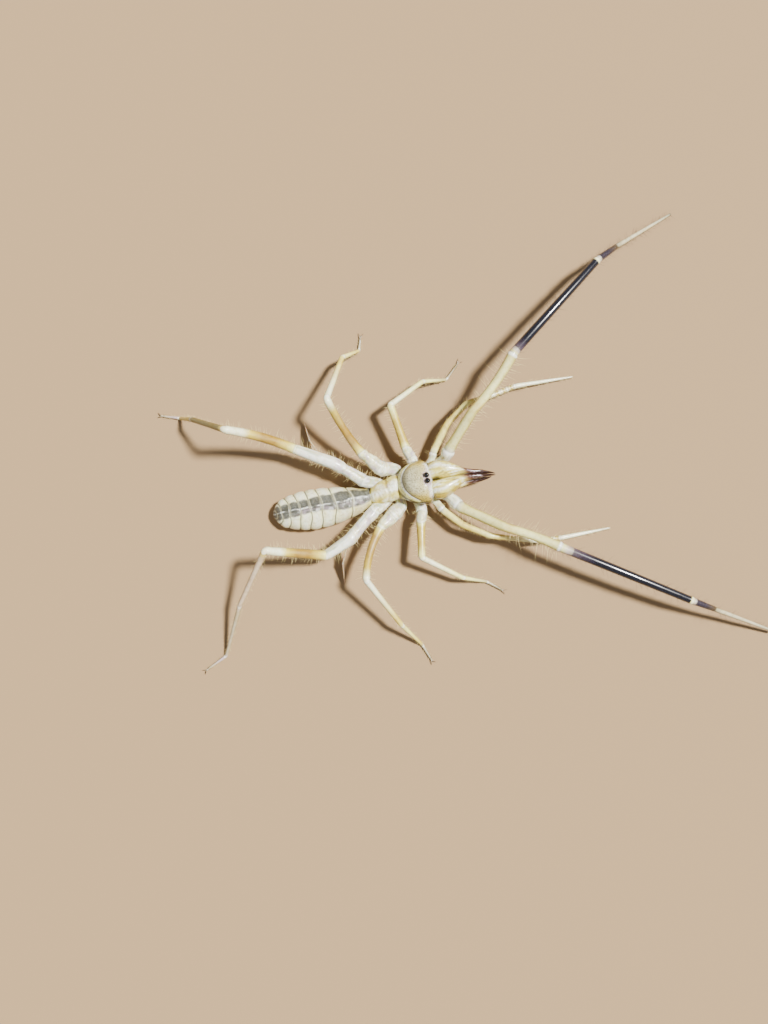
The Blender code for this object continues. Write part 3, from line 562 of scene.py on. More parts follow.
@dataclass
class Limb:
    """A palp or leg: one skin from its coxa under the body to its tip.

    Attributes:
        kind: palp, leg1, leg2, leg3 or leg4.
        side: which side of the body.
        style: thicknesses and colours.
        coxa: places (mm) under the body that it starts from.
        hip: where it leaves the body.
        segments: rows of a Segment's three numbers, out from the hip.
        bow: how far the patella bends sideways.
        arch: how far the tibia bends up.
    """

    kind: str
    side: Side
    style: LimbStyle
    coxa: tuple
    hip: tuple
    segments: tuple
    bow: float = 0.0
    arch: float = 0.0
    corners: Array = field(init=False)
    names: tuple = field(init=False)

    SPACING = 0.12
    TIP_ROUND = 0.35
    CRUMPLE = 0.07
    SEAM_SHAPE = ((0.0, 0.2, -0.06), (-0.5, 0.4, 0.05), (0.6, 0.5, 0.03))

    def __post_init__(self) -> None:
        """Works out the joints from the lengths, headings and end heights."""
        self.names = SEGMENT_NAMES_4 if len(self.segments) == 7 else SEGMENT_NAMES
        joints = [np.array(self.hip)]
        for segment in (Segment(*row) for row in self.segments):
            rise = segment.end_height - joints[-1][2]
            run = math.sqrt(segment.length ** 2 - rise ** 2)
            turn = math.radians(segment.heading)
            joints.append(joints[-1] + (run * math.cos(turn), run * math.sin(turn), rise))
        self.corners = np.array(joints)

    @property
    def name(self) -> str:
        """The limb's name as its nodes have it."""
        return f"{self.kind}_{self.side.word}"

    def _bent(self, start: Array, end: Array, bow: float, arch: float) -> Array:
        """Points between two joints, pushed sideways and up by a parabola."""
        part = np.linspace(0, 1, 9)[:, None]
        way = unit(end - start)
        sideways = unit(np.array((-way[1], way[0], 0.0)))
        push = 4 * part * (1 - part)
        return start + (end - start) * part + push * (sideways * bow + np.array((0, 0, arch)))

    def route(self) -> tuple[Array, dict]:
        """The centre line's corners, and where each segment starts and ends along it."""
        inner = np.array([*self.coxa, self.hip])
        parts = [inner]
        spans = {"coxa": (0.0, arc_length(inner)[-1])}
        reach = spans["coxa"][1]
        for name, start, end in zip(self.names, self.corners[:-1], self.corners[1:]):
            bow = -self.bow if name == "patella" else 0.0
            arch = self.arch if name == "tibia" else 0.0
            points = self._bent(start, end, bow, arch)
            length = arc_length(points)[-1]
            spans[name] = (reach, reach + length)
            reach += length
            parts.append(points[1:])
        return np.concatenate(parts), spans

    def hip_part(self, along: Array, spans: dict) -> Array:
        """1 on the crumpled stretch next to the body and 0 beyond, by a soft step."""
        name = "trochanter" if self.kind in ("palp", "leg1") else "femur"
        return step(spans[name][1] - along, 0.0, 1.5)

    def radii(self, along: Array, spans: dict) -> Array:
        """Half the thickness along the limb: the named widths, drawn in and flared at joints."""
        widths = self.style.widths
        base = [spot(spans, name, part) for name, parts in BASE_PARTS.items() if name in spans
                for part in parts]
        places = [0.0, *base]
        values = [widths["base"][0] * 0.95, *np.interp(
            np.linspace(0, 1, len(base)), np.linspace(0, 1, len(widths["base"])), widths["base"])]
        for name in ("patella", "tibia"):
            start, end = spans[name]
            places += list(np.linspace(start + 0.05, end, len(widths[name])))
            values += widths[name]
        places += [spans["metatarsus"][0] + 0.05]
        places += [spot(spans, name, part) for name in ("metatarsus", "foot") for part in (0.5, 1.0)]
        values += widths["tarsus"]
        radius = smooth(np.interp(along, places, values), 9) / 2
        for name in self.style.seams:
            soft = 0.6 if name == "foot" else 1.0
            for away, width, swell in self.SEAM_SHAPE:
                radius = radius * (1 + swell * soft * bump(along, spans[name][0] + away, width))
        lumps = noise(np.stack([along, 0 * along, 0 * along], -1), 0.9, 16 + len(self.kind))
        radius = radius * (1 + self.CRUMPLE * self.hip_part(along, spans) * lumps)
        tip_fade = np.clip((along[-1] - along) / self.TIP_ROUND, 0.0, 1.0)
        return radius * np.sqrt(np.clip(1 - (1 - tip_fade) ** 2, 0.02, 1))

    def tints(self, along: Array, spans: dict, lie: Array, rings: Array) -> Array:
        """The skin's colour: stops along the limb, flanks yellowed partly by the clear cuticle and
        partly by painted shade, a painted highlight on top, rings at joints.
        """
        stops = sorted((spot(spans, name, part), colour)
                       for name, pairs in self.style.stops.items() for part, colour in pairs)
        places = [place for place, _ in stops]
        colours = np.array([colour for _, colour in stops])
        rise = lie[..., 2] / np.maximum(np.hypot(lie[..., 1], lie[..., 2]), 1e-6)
        read = along[:, None] - self.style.slant * np.clip(rise, 0, 1)
        tint = np.stack([np.interp(read, places, colours[:, band]) for band in range(3)], axis=-1)
        light = step(tint.mean(axis=-1), 0.07, 0.04)
        warm = step(along, spans[self.style.warm_from][0] + 0.4, 0.8)[:, None]
        # Painted shade, partly the clear cuticle's own yellow: the flank weight grows from the top down
        # the sides and underside, and EDGE_YELLOW is laid with it.
        flank = np.clip((0.95 - rise) / 0.95, 0, 1) ** 1.2
        streak = noise(lie * (0.22, 1.5, 1.5), 0.5, 13)
        loud = 0.3 + 0.7 * (1 - warm)
        # Painted highlight: white laid along the top of the limb, weaker over the yellow stretch.
        painted_highlight = (0.35 + (self.style.glow - 0.35) * warm) * step(rise, 0.72, 0.4)
        green = np.clip(1.5 * noise(lie * (0.1, 2.2, 2.2), 0.5, 14) - 0.15, 0, 1)
        tint = layered(
            tint, (EDGE_YELLOW, light * flank * (0.34 + 0.37 * warm)),
            (WAX_WHITE, light * np.clip(0.5 * loud * streak * (1 - 0.7 * warm) + painted_highlight, 0, 1)),
            (PALE_YELLOW, 0.5 * light * loud * np.clip(-streak - 0.1, 0, 1)),
            (STREAK_GREEN, 0.8 * light * (1 - warm) * green))
        if self.kind != "palp":
            patch = noise(rings, 0.8, 15)
            hip = self.hip_part(along, spans)[:, None] * (1 - warm)
            # Painted highlight: the lilac streaks laid with this weight lie only on the hips' upper
            # sides.
            grey = noise(lie * (0.12, 3.0, 3.0), 0.5, 20) * step(rise, 0.5, 0.3)
            tint = layered(tint, (LILAC, 0.75 * hip * np.clip(1.5 * patch - 0.2, 0, 1)),
                           (PALE_YELLOW, 0.55 * hip * bump(patch, 0.0, 0.14)),
                           (LILAC, 0.8 * hip * np.clip(2.2 * grey - 0.5, 0, 1)))
        # Painted light: a paler brown band on the lower outer edge of the dark stretches, light showing
        # through the translucent cuticle.
        edge = np.clip((0.45 - rise) / 0.45, 0, 1) * step(-lie[..., 1] * self.side.value, 0.0, 0.4)
        tint = layered(tint, (SMOKE, 0.6 * (1 - light) * edge))
        for name in self.style.seams:
            joint = spans[name][0]
            tint = layered(tint, (COOL_WHITE, 0.6 * light * bump(read, joint - 0.28, 0.24)),
                           (OLIVE, 0.4 * light * bump(read, joint + 0.02, 0.09)))
        if self.kind == "leg1":
            start, end = spans["metatarsus"]
            inside = step(along, start - 0.6, 0.4) * step(end - 0.2 - along, 0.0, 0.4)
            barred = np.sin(2 * np.pi * (along[:, None] + 0.45 * rise) / 0.62)
            tint = layered(tint, (SMOKE, 0.6 * inside[:, None] * np.clip(barred, 0, 1)))
        cloud = noise(rings, 1.1, 11) * 0.05 + noise(rings, 0.4, 12) * 0.03
        return np.clip(tint * (1 + cloud[..., None]), 0, 1)

    def build(self) -> "LimbSkin":
        """Makes the limb's skin and returns it for the hairs to grow on."""
        corners, spans = self.route()
        path, along = even_path(corners, self.SPACING, self.style.rounding)
        radius = self.radii(along, spans)
        path[:, 2] = np.maximum(path[:, 2], radius)
        rings, lie = tube_rings(path, radius, self.style.sides)
        hip = self.hip_part(along, spans)[:, None]
        folds = noise(rings, 1.2, 17) + 0.4 * noise(rings, 0.6, 18)
        crumple = 1 + self.CRUMPLE * hip * folds
        rings = path[:, None] + (rings - path[:, None]) * crumple[..., None]
        sheet = closed_rings(rings, self.tints(along, spans, lie, rings), lie)
        sheet.mesh_object(f"skin_{self.name}", PALP_FINISH if self.kind == "palp" else LEG_FINISH,
                          *(f"{self.name}_{part}" for part in PARTS))
        return LimbSkin(self, path, along, radius, spans)


@dataclass
class LimbSkin:
    """A finished limb's centre line, thickness and segment spans."""

    limb: Limb
    path: Array
    along: Array
    radius: Array
    spans: dict


LEG_FINISH = Finish("limb_wax", "limb_white", Pattern.STREAKED, roughness=0.36, coat=0.22,
                    depth=0.3, mark=srgb(226, 218, 196), grain=0.9, relief=0.02)
PALP_FINISH = Finish("palp_wax", "limb_ochre", Pattern.STREAKED, roughness=0.25, coat=0.4,
                     depth=0.2, mark=srgb(226, 220, 198), grain=0.9, relief=0.008)
HIDE_FINISH = Finish("abdomen_hide", "hide", Pattern.MOTTLED, roughness=0.45, coat=0.15,
                     depth=0.35, mark=srgb(220, 216, 198), grain=0.7, relief=0.03)
SHIELD_FINISH = Finish("shield_hide", "shield", Pattern.FRECKLED, roughness=0.38, coat=0.3,
                       depth=0.2, mark=srgb(140, 128, 104), grain=0.2, relief=0.07)
THORAX_FINISH = Finish("thorax_hide", "shield", Pattern.MOTTLED, roughness=0.42, coat=0.2,
                       depth=0.3, mark=srgb(214, 202, 166), grain=0.5, relief=0.04)
JAW_FINISH = Finish("jaw_shell", "jaw", Pattern.MOTTLED, roughness=0.3, coat=0.4,
                    depth=0.2, mark=srgb(222, 208, 172), grain=0.5, relief=0.02)
EYE_FINISH = Finish("eye_gloss", "eye", Pattern.PLAIN, roughness=0.1, coat=0.35, depth=0.0,
                    relief=0.0)
CLAW_FINISH = Finish("claw_horn", "foot", Pattern.PLAIN, roughness=0.35, coat=0.2, depth=0.2)
FAN_FINISH = Finish("fan_membrane", "organ", Pattern.MOTTLED, roughness=0.45, coat=0.1,
                    depth=1.0, mark=srgb(226, 214, 214), grain=0.5)
HAIR_FINISH = Finish("hair", "limb_white", Pattern.PLAIN, roughness=0.5, coat=0.0, depth=0.0,
                     relief=0.0)


def limbs() -> list[Limb]:
    """All ten limbs, with the lengths, headings and heights of the solids."""
    left, right = Side.LEFT, Side.RIGHT
    return [
        Limb("palp", left, palp_style(0.14), ((6.0, 1.7, 1.9), (9.0, 3.6, 1.9)), (10.9, 4.3, 3.5), (
            (2.8, 55, 5.5), (9.5, 47.9, 9.3), (14.1, 44.1, 11.2),
            (26.5, 37, 8.2), (5.8, 26, 6.3), (16.0, 22, 1.2)), 0.5, 1.2),
        Limb("palp", right, palp_style(0.26), ((6.0, -1.5, 1.9), (8.8, -2.9, 1.9)), (10.4, -3.9, 3.5), (
            (3.2, -58, 5.3), (10.5, -36, 7.8), (11.95, -30.8, 9.0),
            (29.6, -33, 7.2), (5.5, -31, 6.0), (15.8, -31, 1.5)), -0.3, 0.9),
        Limb("leg1", left, LEG1_STYLE, ((5.0, 1.4, 2.6),), (8.2, 4.7, 3.5), (
            (1.5, 67, 3.9), (6.5, 53, 4.6), (6.1, 35, 4.4),
            (6.0, 7, 3.2), (5.3, 12, 2.0), (12.9, -1, 0.28))),
        Limb("leg1", right, LEG1_STYLE, ((4.6, -1.2, 2.6),), (7.5, -4.4, 3.5), (
            (2.1, -64, 3.9), (5.2, -48, 4.6), (6.4, -32, 4.6),
            (10.4, -17, 3.2), (5.0, -3, 2.0), (11.1, 0, 0.28))),
        Limb("leg2", left, LEG2_STYLE, ((3.2, 1.2, 2.6),), (4.3, 4.1, 3.2), (
            (1.9, 100, 3.9), (2.4, 112, 5.2), (9.6, 99, 6.8),
            (9.1, 27, 3.6), (6.2, -2, 0.4), (4.0, 44, 0.22))),
        Limb("leg2", right, LEG2_STYLE, ((2.8, -1.0, 2.6),), (3.8, -3.9, 3.2), (
            (2.0, -76.7, 3.9), (2.4, -112.8, 5.2), (7.65, -100, 6.6),
            (10.0, -37.7, 3.8), (6.5, -22.2, 0.4), (3.6, -39.3, 0.22))),
        Limb("leg3", left, LEG3_STYLE, ((0.4, 1.0, 2.6),), (0.4, 3.9, 3.2), (
            (3.4, 164.7, 4.3), (5.3, 130.8, 6.0), (14.05, 112, 12.5),
            (11.95, 62.3, 5.6), (6.6, 23.2, 0.4), (2.6, 73.6, 0.22)), -0.4),
        Limb("leg3", right, LEG3_STYLE, ((0.2, -0.8, 2.6),), (0.2, -3.7, 3.2), (
            (2.9, -143, 4.3), (3.7, -147, 5.6), (11.9, -116.6, 9.6),
            (12.6, -63.7, 5.6), (8.4, -58, 0.4), (3.6, -70, 0.22)), 0.8),
        # The left tibia's olive is painted shade on a steep tibia that the light reaches less; the
        # right one is pale.
        Limb("leg4", left, leg4_style(OLIVE, CREAM), ((-2.0, 0.6, 2.6),), (-3.8, 1.8, 2.8), (
            (3.2, 160.8, 4.2), (7.3, 138.5, 5.8), (8.75, 149.1, 6.4),
            (16.1, 155, 15.5), (12.05, 149.8, 7.0), (7.7, 155.8, 0.4),
            (3.8, 161.6, 0.22)), 0.5),
        Limb("leg4", right, leg4_style(BLUSH, PALE_GREY), ((-1.8, -1.2, 2.6),), (-3.0, -2.4, 2.8), (
            (3.1, -156.3, 4.2), (8.1, -140.9, 5.6), (5.9, -157.3, 5.8),
            (14.5, 162.4, 14.4), (15.1, -128.7, 6.8), (13.6, -119.7, 0.4),
            (4.9, -154.8, 0.22))),
    ]


MIDLINE_X = (-27.3, -18.0, -8.0, 0.0, 5.0, 9.0, 13.5, 20.5)
MIDLINE_Y = (-0.5, -0.95, -0.95, 0.3, 0.0, -0.1, 0.0, -0.75)
HEAD_ROLL = math.radians(12.0)
HEAD_AXIS = 4.6
HEAD_LIFT = 0.35
EYE_X = 6.2


def middle(x: float | Array) -> float | Array:
    """The sideways place of the body's middle line at x."""
    return np.interp(x, MIDLINE_X, MIDLINE_Y)


def rolled(rows: Array) -> Array:
    """Points of the head, leant to the left: turned about a line along x, then lifted.

    Args:
        rows: points in mm.

    Returns:
        The moved points.
    """
    side = rows[..., 1] - middle(EYE_X)
    rise = rows[..., 2] - HEAD_AXIS
    cos, sin = math.cos(HEAD_ROLL), math.sin(HEAD_ROLL)
    return np.stack([rows[..., 0], rows[..., 1] - side + side * cos + rise * sin,
                     HEAD_AXIS + HEAD_LIFT + rise * cos - side * sin], axis=-1)


@dataclass(frozen=True)
class Section:
    """A cross-section at x: half width, bottom, widest level, top and gap beside the middle."""

    x: float
    half: float
    bottom: float
    level: float
    top: float
    gap: float = 0.0


def section_rows(rows: tuple, x: Array) -> tuple[Array, ...]:
    """Half width, bottom, level, top and gap of the sections, read at x and rounded."""
    sections = [Section(*row) for row in rows]
    places = [section.x for section in sections]
    return tuple(smooth(np.interp(x, places, [getattr(section, size) for section in sections]), 9)
                 for size in ("half", "bottom", "level", "top", "gap"))


def half_heights(bottom: Array, level: Array, top: Array, rise: Array) -> Array:
    """How far a ring reaches from its level: up to the top where rise is over 0, else down."""
    return np.where(rise > 0, (top - level)[:, None], (level - bottom)[:, None])


@dataclass
class Abdomen:
    """The long soft abdomen: ivory lobes parted by grooves, grey plates along the back.

    Attributes:
        front: x of the foremost groove.
        lengths: of the lobes, from the front.
        half_widths: at the grooves, as are tops and bottoms.
        widest_level: height of the widest line.
        sweep: how far the grooves run back towards the flanks.
        plate_x: where the plates' half widths, their shift to the left and their line's are given.
        groove_width: half the width of a groove.
        end_round: length of the rounded end.
        rounding: rings over which the outline is smoothed.
    """

    front: float = -5.9
    lengths: tuple = (3.8, 3.6, 2.8, 2.35, 2.25, 2.15, 1.75, 1.2, 0.9)
    half_widths: tuple = (1.75, 3.05, 3.8, 4.1, 4.2, 4.0, 3.55, 2.95, 2.35, 1.7)
    tops: tuple = (5.2, 5.7, 5.9, 5.85, 5.7, 5.4, 4.9, 4.3, 3.75, 2.9)
    bottoms: tuple = (2.2, 0.6, -0.1, -0.15, -0.15, -0.1, -0.05, 0.25, 0.75, 1.6)
    widest_level: float = 2.3
    sweep: float = 1.0
    plate_x: tuple = (-27.2, -26.0, -23.9, -22.0, -19.8, -17.5, -14.7, -11.5, -9.3, -6.4)
    plate_half: tuple = (0.7, 1.35, 1.4, 1.4, 1.35, 1.4, 1.5, 1.85, 1.6, 1.2)
    plate_shift: tuple = (0.0, 0.1, 0.3, 0.5, 0.7, 1.0, 0.85, 0.6, 0.7, 0.45)
    line_shift: tuple = (0.0, 0.0, 0.0, -0.1, -0.2, -0.35, -0.35, -0.15, 0.0, -0.15)
    groove_width: float = 0.12
    end_round: float = 2.0
    rings: int = 300
    sides: int = 260
    rounding: int = 27

    def build(self) -> None:
        """Makes the skin: an egg of half ellipses, scored, swollen and tinted."""
        edges = self.front - np.concatenate(([0.0], np.cumsum(self.lengths)))
        x = np.linspace(edges[0], edges[-1], self.rings)
        half, top, bottom = (smooth(np.interp(-x, -edges, sizes), self.rounding)
                             for sizes in (self.half_widths, self.tops, self.bottoms))
        end = np.clip((x - edges[-1]) / self.end_round, 0, 1)
        close = np.sqrt(np.clip(1 - (1 - end) ** 2, 0.0, 1))
        level = np.minimum(self.widest_level + 0.25 * np.maximum(bottom, 0), (top + bottom) / 2)
        across, rise = circle(self.sides, -np.pi / 2)

        swept = x[:, None] + self.sweep * np.abs(across) ** 2.2
        swept = swept + 0.1 * np.sin(5.0 * across + x[:, None])
        order = np.interp(-swept, -edges, np.arange(len(edges)))
        phase = order - np.floor(order)
        away = np.minimum(phase, 1 - phase) * np.interp(order, np.arange(9) + 0.5, self.lengths)
        groove = bump(away, 0.0, self.groove_width) * (order > 0.3)
        swell = np.sin(np.pi * phase) ** 0.7

        lobe = 1 + (0.04 * swell - 0.022) * (0.3 + 0.7 * np.abs(across))
        lobe = lobe - 0.035 * groove * (0.3 + 0.7 * np.abs(across))
        y = (half * close)[:, None] * across * lobe
        height = half_heights(bottom, level, top, rise)
        z = level[:, None] + height * rise * close[:, None] * (1 + (lobe - 1) * 0.7)
        off = y - np.interp(x, self.plate_x, self.plate_shift)[:, None]
        rows = np.stack([x[:, None] + 0 * y, y, z], -1)
        wide = np.interp(x, self.plate_x, self.plate_half)[:, None]
        wide = wide + 0.14 * np.sin(np.pi * phase) + 0.12 * noise(rows, 0.7, 4)
        inside = step(wide - np.abs(off), 0.0, 0.22) * (rise > 0.1)
        z = z + 0.1 * inside * (1 - groove)
        rows = np.stack([rows[..., 0], middle(x)[:, None] + y, z], -1)
        wrinkle = noise(rows * (2.5, 1, 1), 0.9, 3) + 0.6 * noise(rows * (3.0, 1, 1), 0.35, 2)
        rows[..., 2] = np.maximum(z + 0.018 * wrinkle * (rise > -0.4), 0.0)
        tint = self._tint(rows, off, inside, groove, phase, rise)
        closed_rings(rows[:, ::-1], tint[:, ::-1]).mesh_object("skin_abdomen", HIDE_FINISH,
                                                               "abdomen")

    def _tint(self, rows: Array, off: Array, inside: Array, groove: Array, phase: Array,
              rise: Array) -> Array:
        """Ivory lobes with a painted highlight over their swells, mottled grey plates with a white line
        down the middle, grey grooves.

        Args:
            rows: the points.
            off: how far each lies from the plates' middle line.
            inside: 1 on a plate and 0 off it.
            groove: 1 in a groove and 0 between two.
            phase: place within its ring of the abdomen, 0 in front and 1 behind.
            rise: sine of each point's turn on its ring.

        Returns:
            The colours.
        """
        x = rows[..., 0]
        cloud = 0.6 * noise(rows, 0.55, 7) + 0.6 * noise(rows, 0.22, 8)
        grey = layered(PLATE_GREY, (PLATE_LIGHT, cloud), (PLATE_DARK, 0.7 * np.clip(-cloud, 0, 1)),
                       (PLATE_DARK, 0.7 * bump(phase, 0.14, 0.13) * bump(off, 0.6, 0.9)))
        line = off - np.interp(x, self.plate_x, self.line_shift)
        under = inside * step(-line, 0.1, 0.2) * (bump(x, -18.4, 2.3) + 0.45 * step(x, -15.5, 1.0))
        white = (line + 0.08 * noise(rows, 0.5, 6)) / (0.12 + 0.1 * bump(x, -8.0, 2.0))
        broken = np.clip(0.45 + 1.1 * noise(rows, 0.4, 9), 0, 1) * inside
        high = step(rise + 0 * x, -0.35, 0.5)
        return layered(
            HIDE_CREAM,
            # Painted highlight: each lobe whitened over its swell, more on its upper side.
            (COOL_WHITE, 0.6 * np.sin(np.pi * phase) * step(rise + 0 * x, -0.5, 1.5)),
            (PALE_YELLOW, 0.45 * step(x, -10.5, 4.0)),
            (PALE_YELLOW, 0.35 * np.clip(noise(rows, 1.6, 5), 0, 1)),
            (grey, 0.96 * inside * (1 - 0.25 * groove)),
            (LILAC, under * np.clip(0.35 + 0.9 * noise(rows, 0.5, 10), 0, 0.7)),
            (COOL_WHITE, under * np.clip(1.2 * noise(rows, 0.4, 19) - 0.1, 0, 0.7)),
            (PLATE_DARK, 0.6 * inside * bump(np.abs(line), 0.34, 0.14)),
            (COOL_WHITE, bump(white, 0.0, 1.0) * broken),
            (PLATE_LIGHT, 0.9 * inside * bump(phase, 0.09, 0.05) * (off < 0.9)),
            (WAX_WHITE, 0.5 * bump(phase, 0.93, 0.05) * high),
            (GROOVE_GREY, 0.95 * groove * high * (1 - 0.75 * inside)),
            (PALE_GREY, 0.25 * groove * inside))


@dataclass
class Shield:
    """The domed head shield with its pale hind rim, and the mound of the eyes.

    Attributes:
        centre_x: x of the widest place.
        half: half width.
        behind: how far it reaches back, and ahead how far forward.
        meridian: share of the outline and height, from the top over the edge to the underside.
        flange: width of the hind rim as a share of the plate.
        eye_z: height of the eyes; eye_gap lies between their centres and eye_size is one's width.
    """

    centre_x: float = 5.1
    half: float = 4.6
    behind: float = 5.2
    ahead: float = 2.25
    meridian: tuple = ((0.0, 8.7), (0.3, 8.62), (0.55, 8.35), (0.73, 7.93), (0.85, 7.45),
                       (0.94, 6.9), (0.99, 6.3), (1.0, 5.8), (0.95, 5.15), (0.5, 5.1), (0.0, 5.1))
    flange: float = 0.27
    rings: int = 230
    sides: int = 230
    eye_z: float = 8.97
    eye_gap: float = 1.2
    eye_size: float = 1.14

    def build(self) -> None:
        """Makes the plate and its two eyes.

        A ring of the plate is its outline shrunk by a factor: a half ellipse behind the centre
        and a squarer half ahead of it. The factor and the height follow the meridian.
        """
        cos, sin = circle(self.sides)
        long = np.where(cos < 0, self.behind * cos, self.ahead * np.abs(cos) ** 0.6)
        wide = self.half * np.sign(sin) * np.abs(sin) ** np.where(cos < 0, 1.0, 0.75)
        knots = np.array(self.meridian)
        lengths = arc_length(knots)
        along = np.linspace(0, lengths[-1], self.rings)
        factor = smooth(np.interp(along, lengths, knots[:, 0]), 7)
        height = smooth(np.interp(along, lengths, knots[:, 1]), 7)
        factor[[0, -1]] = 0.002
        above = (along < lengths[8])[:, None]
        x = self.centre_x - 0.7 * (1 - factor[:, None]) + factor[:, None] * long[None]
        y = factor[:, None] * wide[None]
        lower = 0.45 * np.clip((x - 5.0) / 2.3, 0, 1) ** 2 + 0.5 * np.clip((1.5 - x) / 1.5, 0, 1)
        z = height[:, None] - lower * above * factor[:, None]
        rows = np.stack([x, middle(x) + y, z], -1)
        off = np.hypot((x - EYE_X) / 1.05, y / 1.3)
        rows[..., 2] += 0.45 * np.exp(-(off ** 2)) * above
        band = self.flange * np.clip(-cos, 0, 1) ** 0.6 + 0.02
        inward = (1 - factor[:, None]) / band[None]
        rows[..., 2] -= 0.22 * step(0.95 - inward, 0.0, 0.12) * above * (band > 0.1)
        rows[..., 2] += 0.035 * (noise(rows, 0.9, 21) + 0.8 * noise(rows, 0.3, 22)) * above
        tint = self._tint(rows, y, factor[:, None] + 0 * x, inward, above, cos)
        closed_rings(rolled(rows)[::-1], tint[::-1]).mesh_object("plate_head_shield",
                                                                 SHIELD_FINISH, "head_shield")
        for side in Side:
            self._eye(side)

    def _tint(self, rows: Array, y: Array, rim: Array, inward: Array, above: Array,
              cos: Array) -> Array:
        """Freckled grey plate, a cream and white flange behind it, ochre flanks, a white front.

        Args:
            rows: the points.
            y: how far each lies from the middle line.
            rim: 1 at the outline and 0 at the centre.
            inward: 0 at the outline and 1 where the flange meets the plate.
            above: whether a ring is on the upper face.
            cos: cosine of each point's turn round the plate.

        Returns:
            The colours.
        """
        x = rows[..., 0]
        flank = step(rim, 0.68, 0.22) * step(x, 2.6, 2.0)
        hind = (cos < 0.05) * above
        edge = x + 0.02 * y ** 2 + 0.16 * noise(rows, 0.6, 24)
        front = bump(edge, self.centre_x + 1.85, 0.55) * step(3.6 - np.abs(y), 0, 0.6)
        border = bump(edge, self.centre_x + 1.35, 0.25) * step(2.6 - np.abs(y), 0, 0.8)
        spot = bump(np.hypot(x - self.centre_x - 1.7, np.abs(y) - 3.75), 0.0, 0.32)
        socket = bump(np.hypot(x - EYE_X, np.abs(y) - self.eye_gap / 2), 0.68, 0.22)
        tint = layered(
            SHIELD_GREY, (CREAM, 0.35 * step(x, 4.4, 2.5)),
            (PLATE_LIGHT, 0.4 * step(2.6 - x, 0.0, 2.0)),
            (SHIELD_SHADE, 0.6 * bump(inward, 1.15, 0.5) * (cos < 0) * above),
            (PALE_YELLOW, 0.8 * flank), (SHIELD_OCHRE, 0.8 * flank * step(rim, 0.8, 0.25)),
            (IVORY, 0.9 * step(0.72 - inward, 0, 0.1) * hind * (x < 4.0)),
            (COOL_WHITE, bump(inward, 0.78, 0.13) * hind * step(3.6 - x, 0, 1.0)),
            (SHIELD_SHADE, 0.9 * bump(inward, 0.98, 0.07) * hind),
            (MARGIN_BROWN, 0.9 * step(rim, 0.95, 0.02) * above * step(6.0 - x, 0, 1)),
            (COOL_WHITE, 0.95 * front), (LILAC, 0.6 * border), (VIOLET, 0.8 * spot),
            (LILAC, 0.95 * socket),
            (SHIELD_SHADE, 0.35 * bump(y, 0.0, 0.12) * step(5.4 - x, 0, 0.8)))
        return np.clip(tint * (1 + 0.07 * noise(rows, 0.8, 23))[..., None], 0, 1)

    def _eye(self, side: Side) -> None:
        """One glossy black ball set in the mound: a sphere of latitude rings."""
        rise = np.linspace(-0.45 * np.pi, 0.45 * np.pi, 18)
        ring = np.stack(circle(32), -1)[None] * np.cos(rise)[:, None, None]
        ball = np.concatenate([ring, np.repeat(np.sin(rise)[:, None, None], 32, 1)], -1)
        level = middle(EYE_X) + side.value * self.eye_gap / 2
        places = rolled(np.array((EYE_X, level, self.eye_z)) + ball * self.eye_size / 2)
        tint = np.broadcast_to(EYE_BLACK, places.shape)
        closed_rings(places, tint).mesh_object(f"ball_eye_{side.word}", EYE_FINISH,
                                               f"eye_{side.word}")


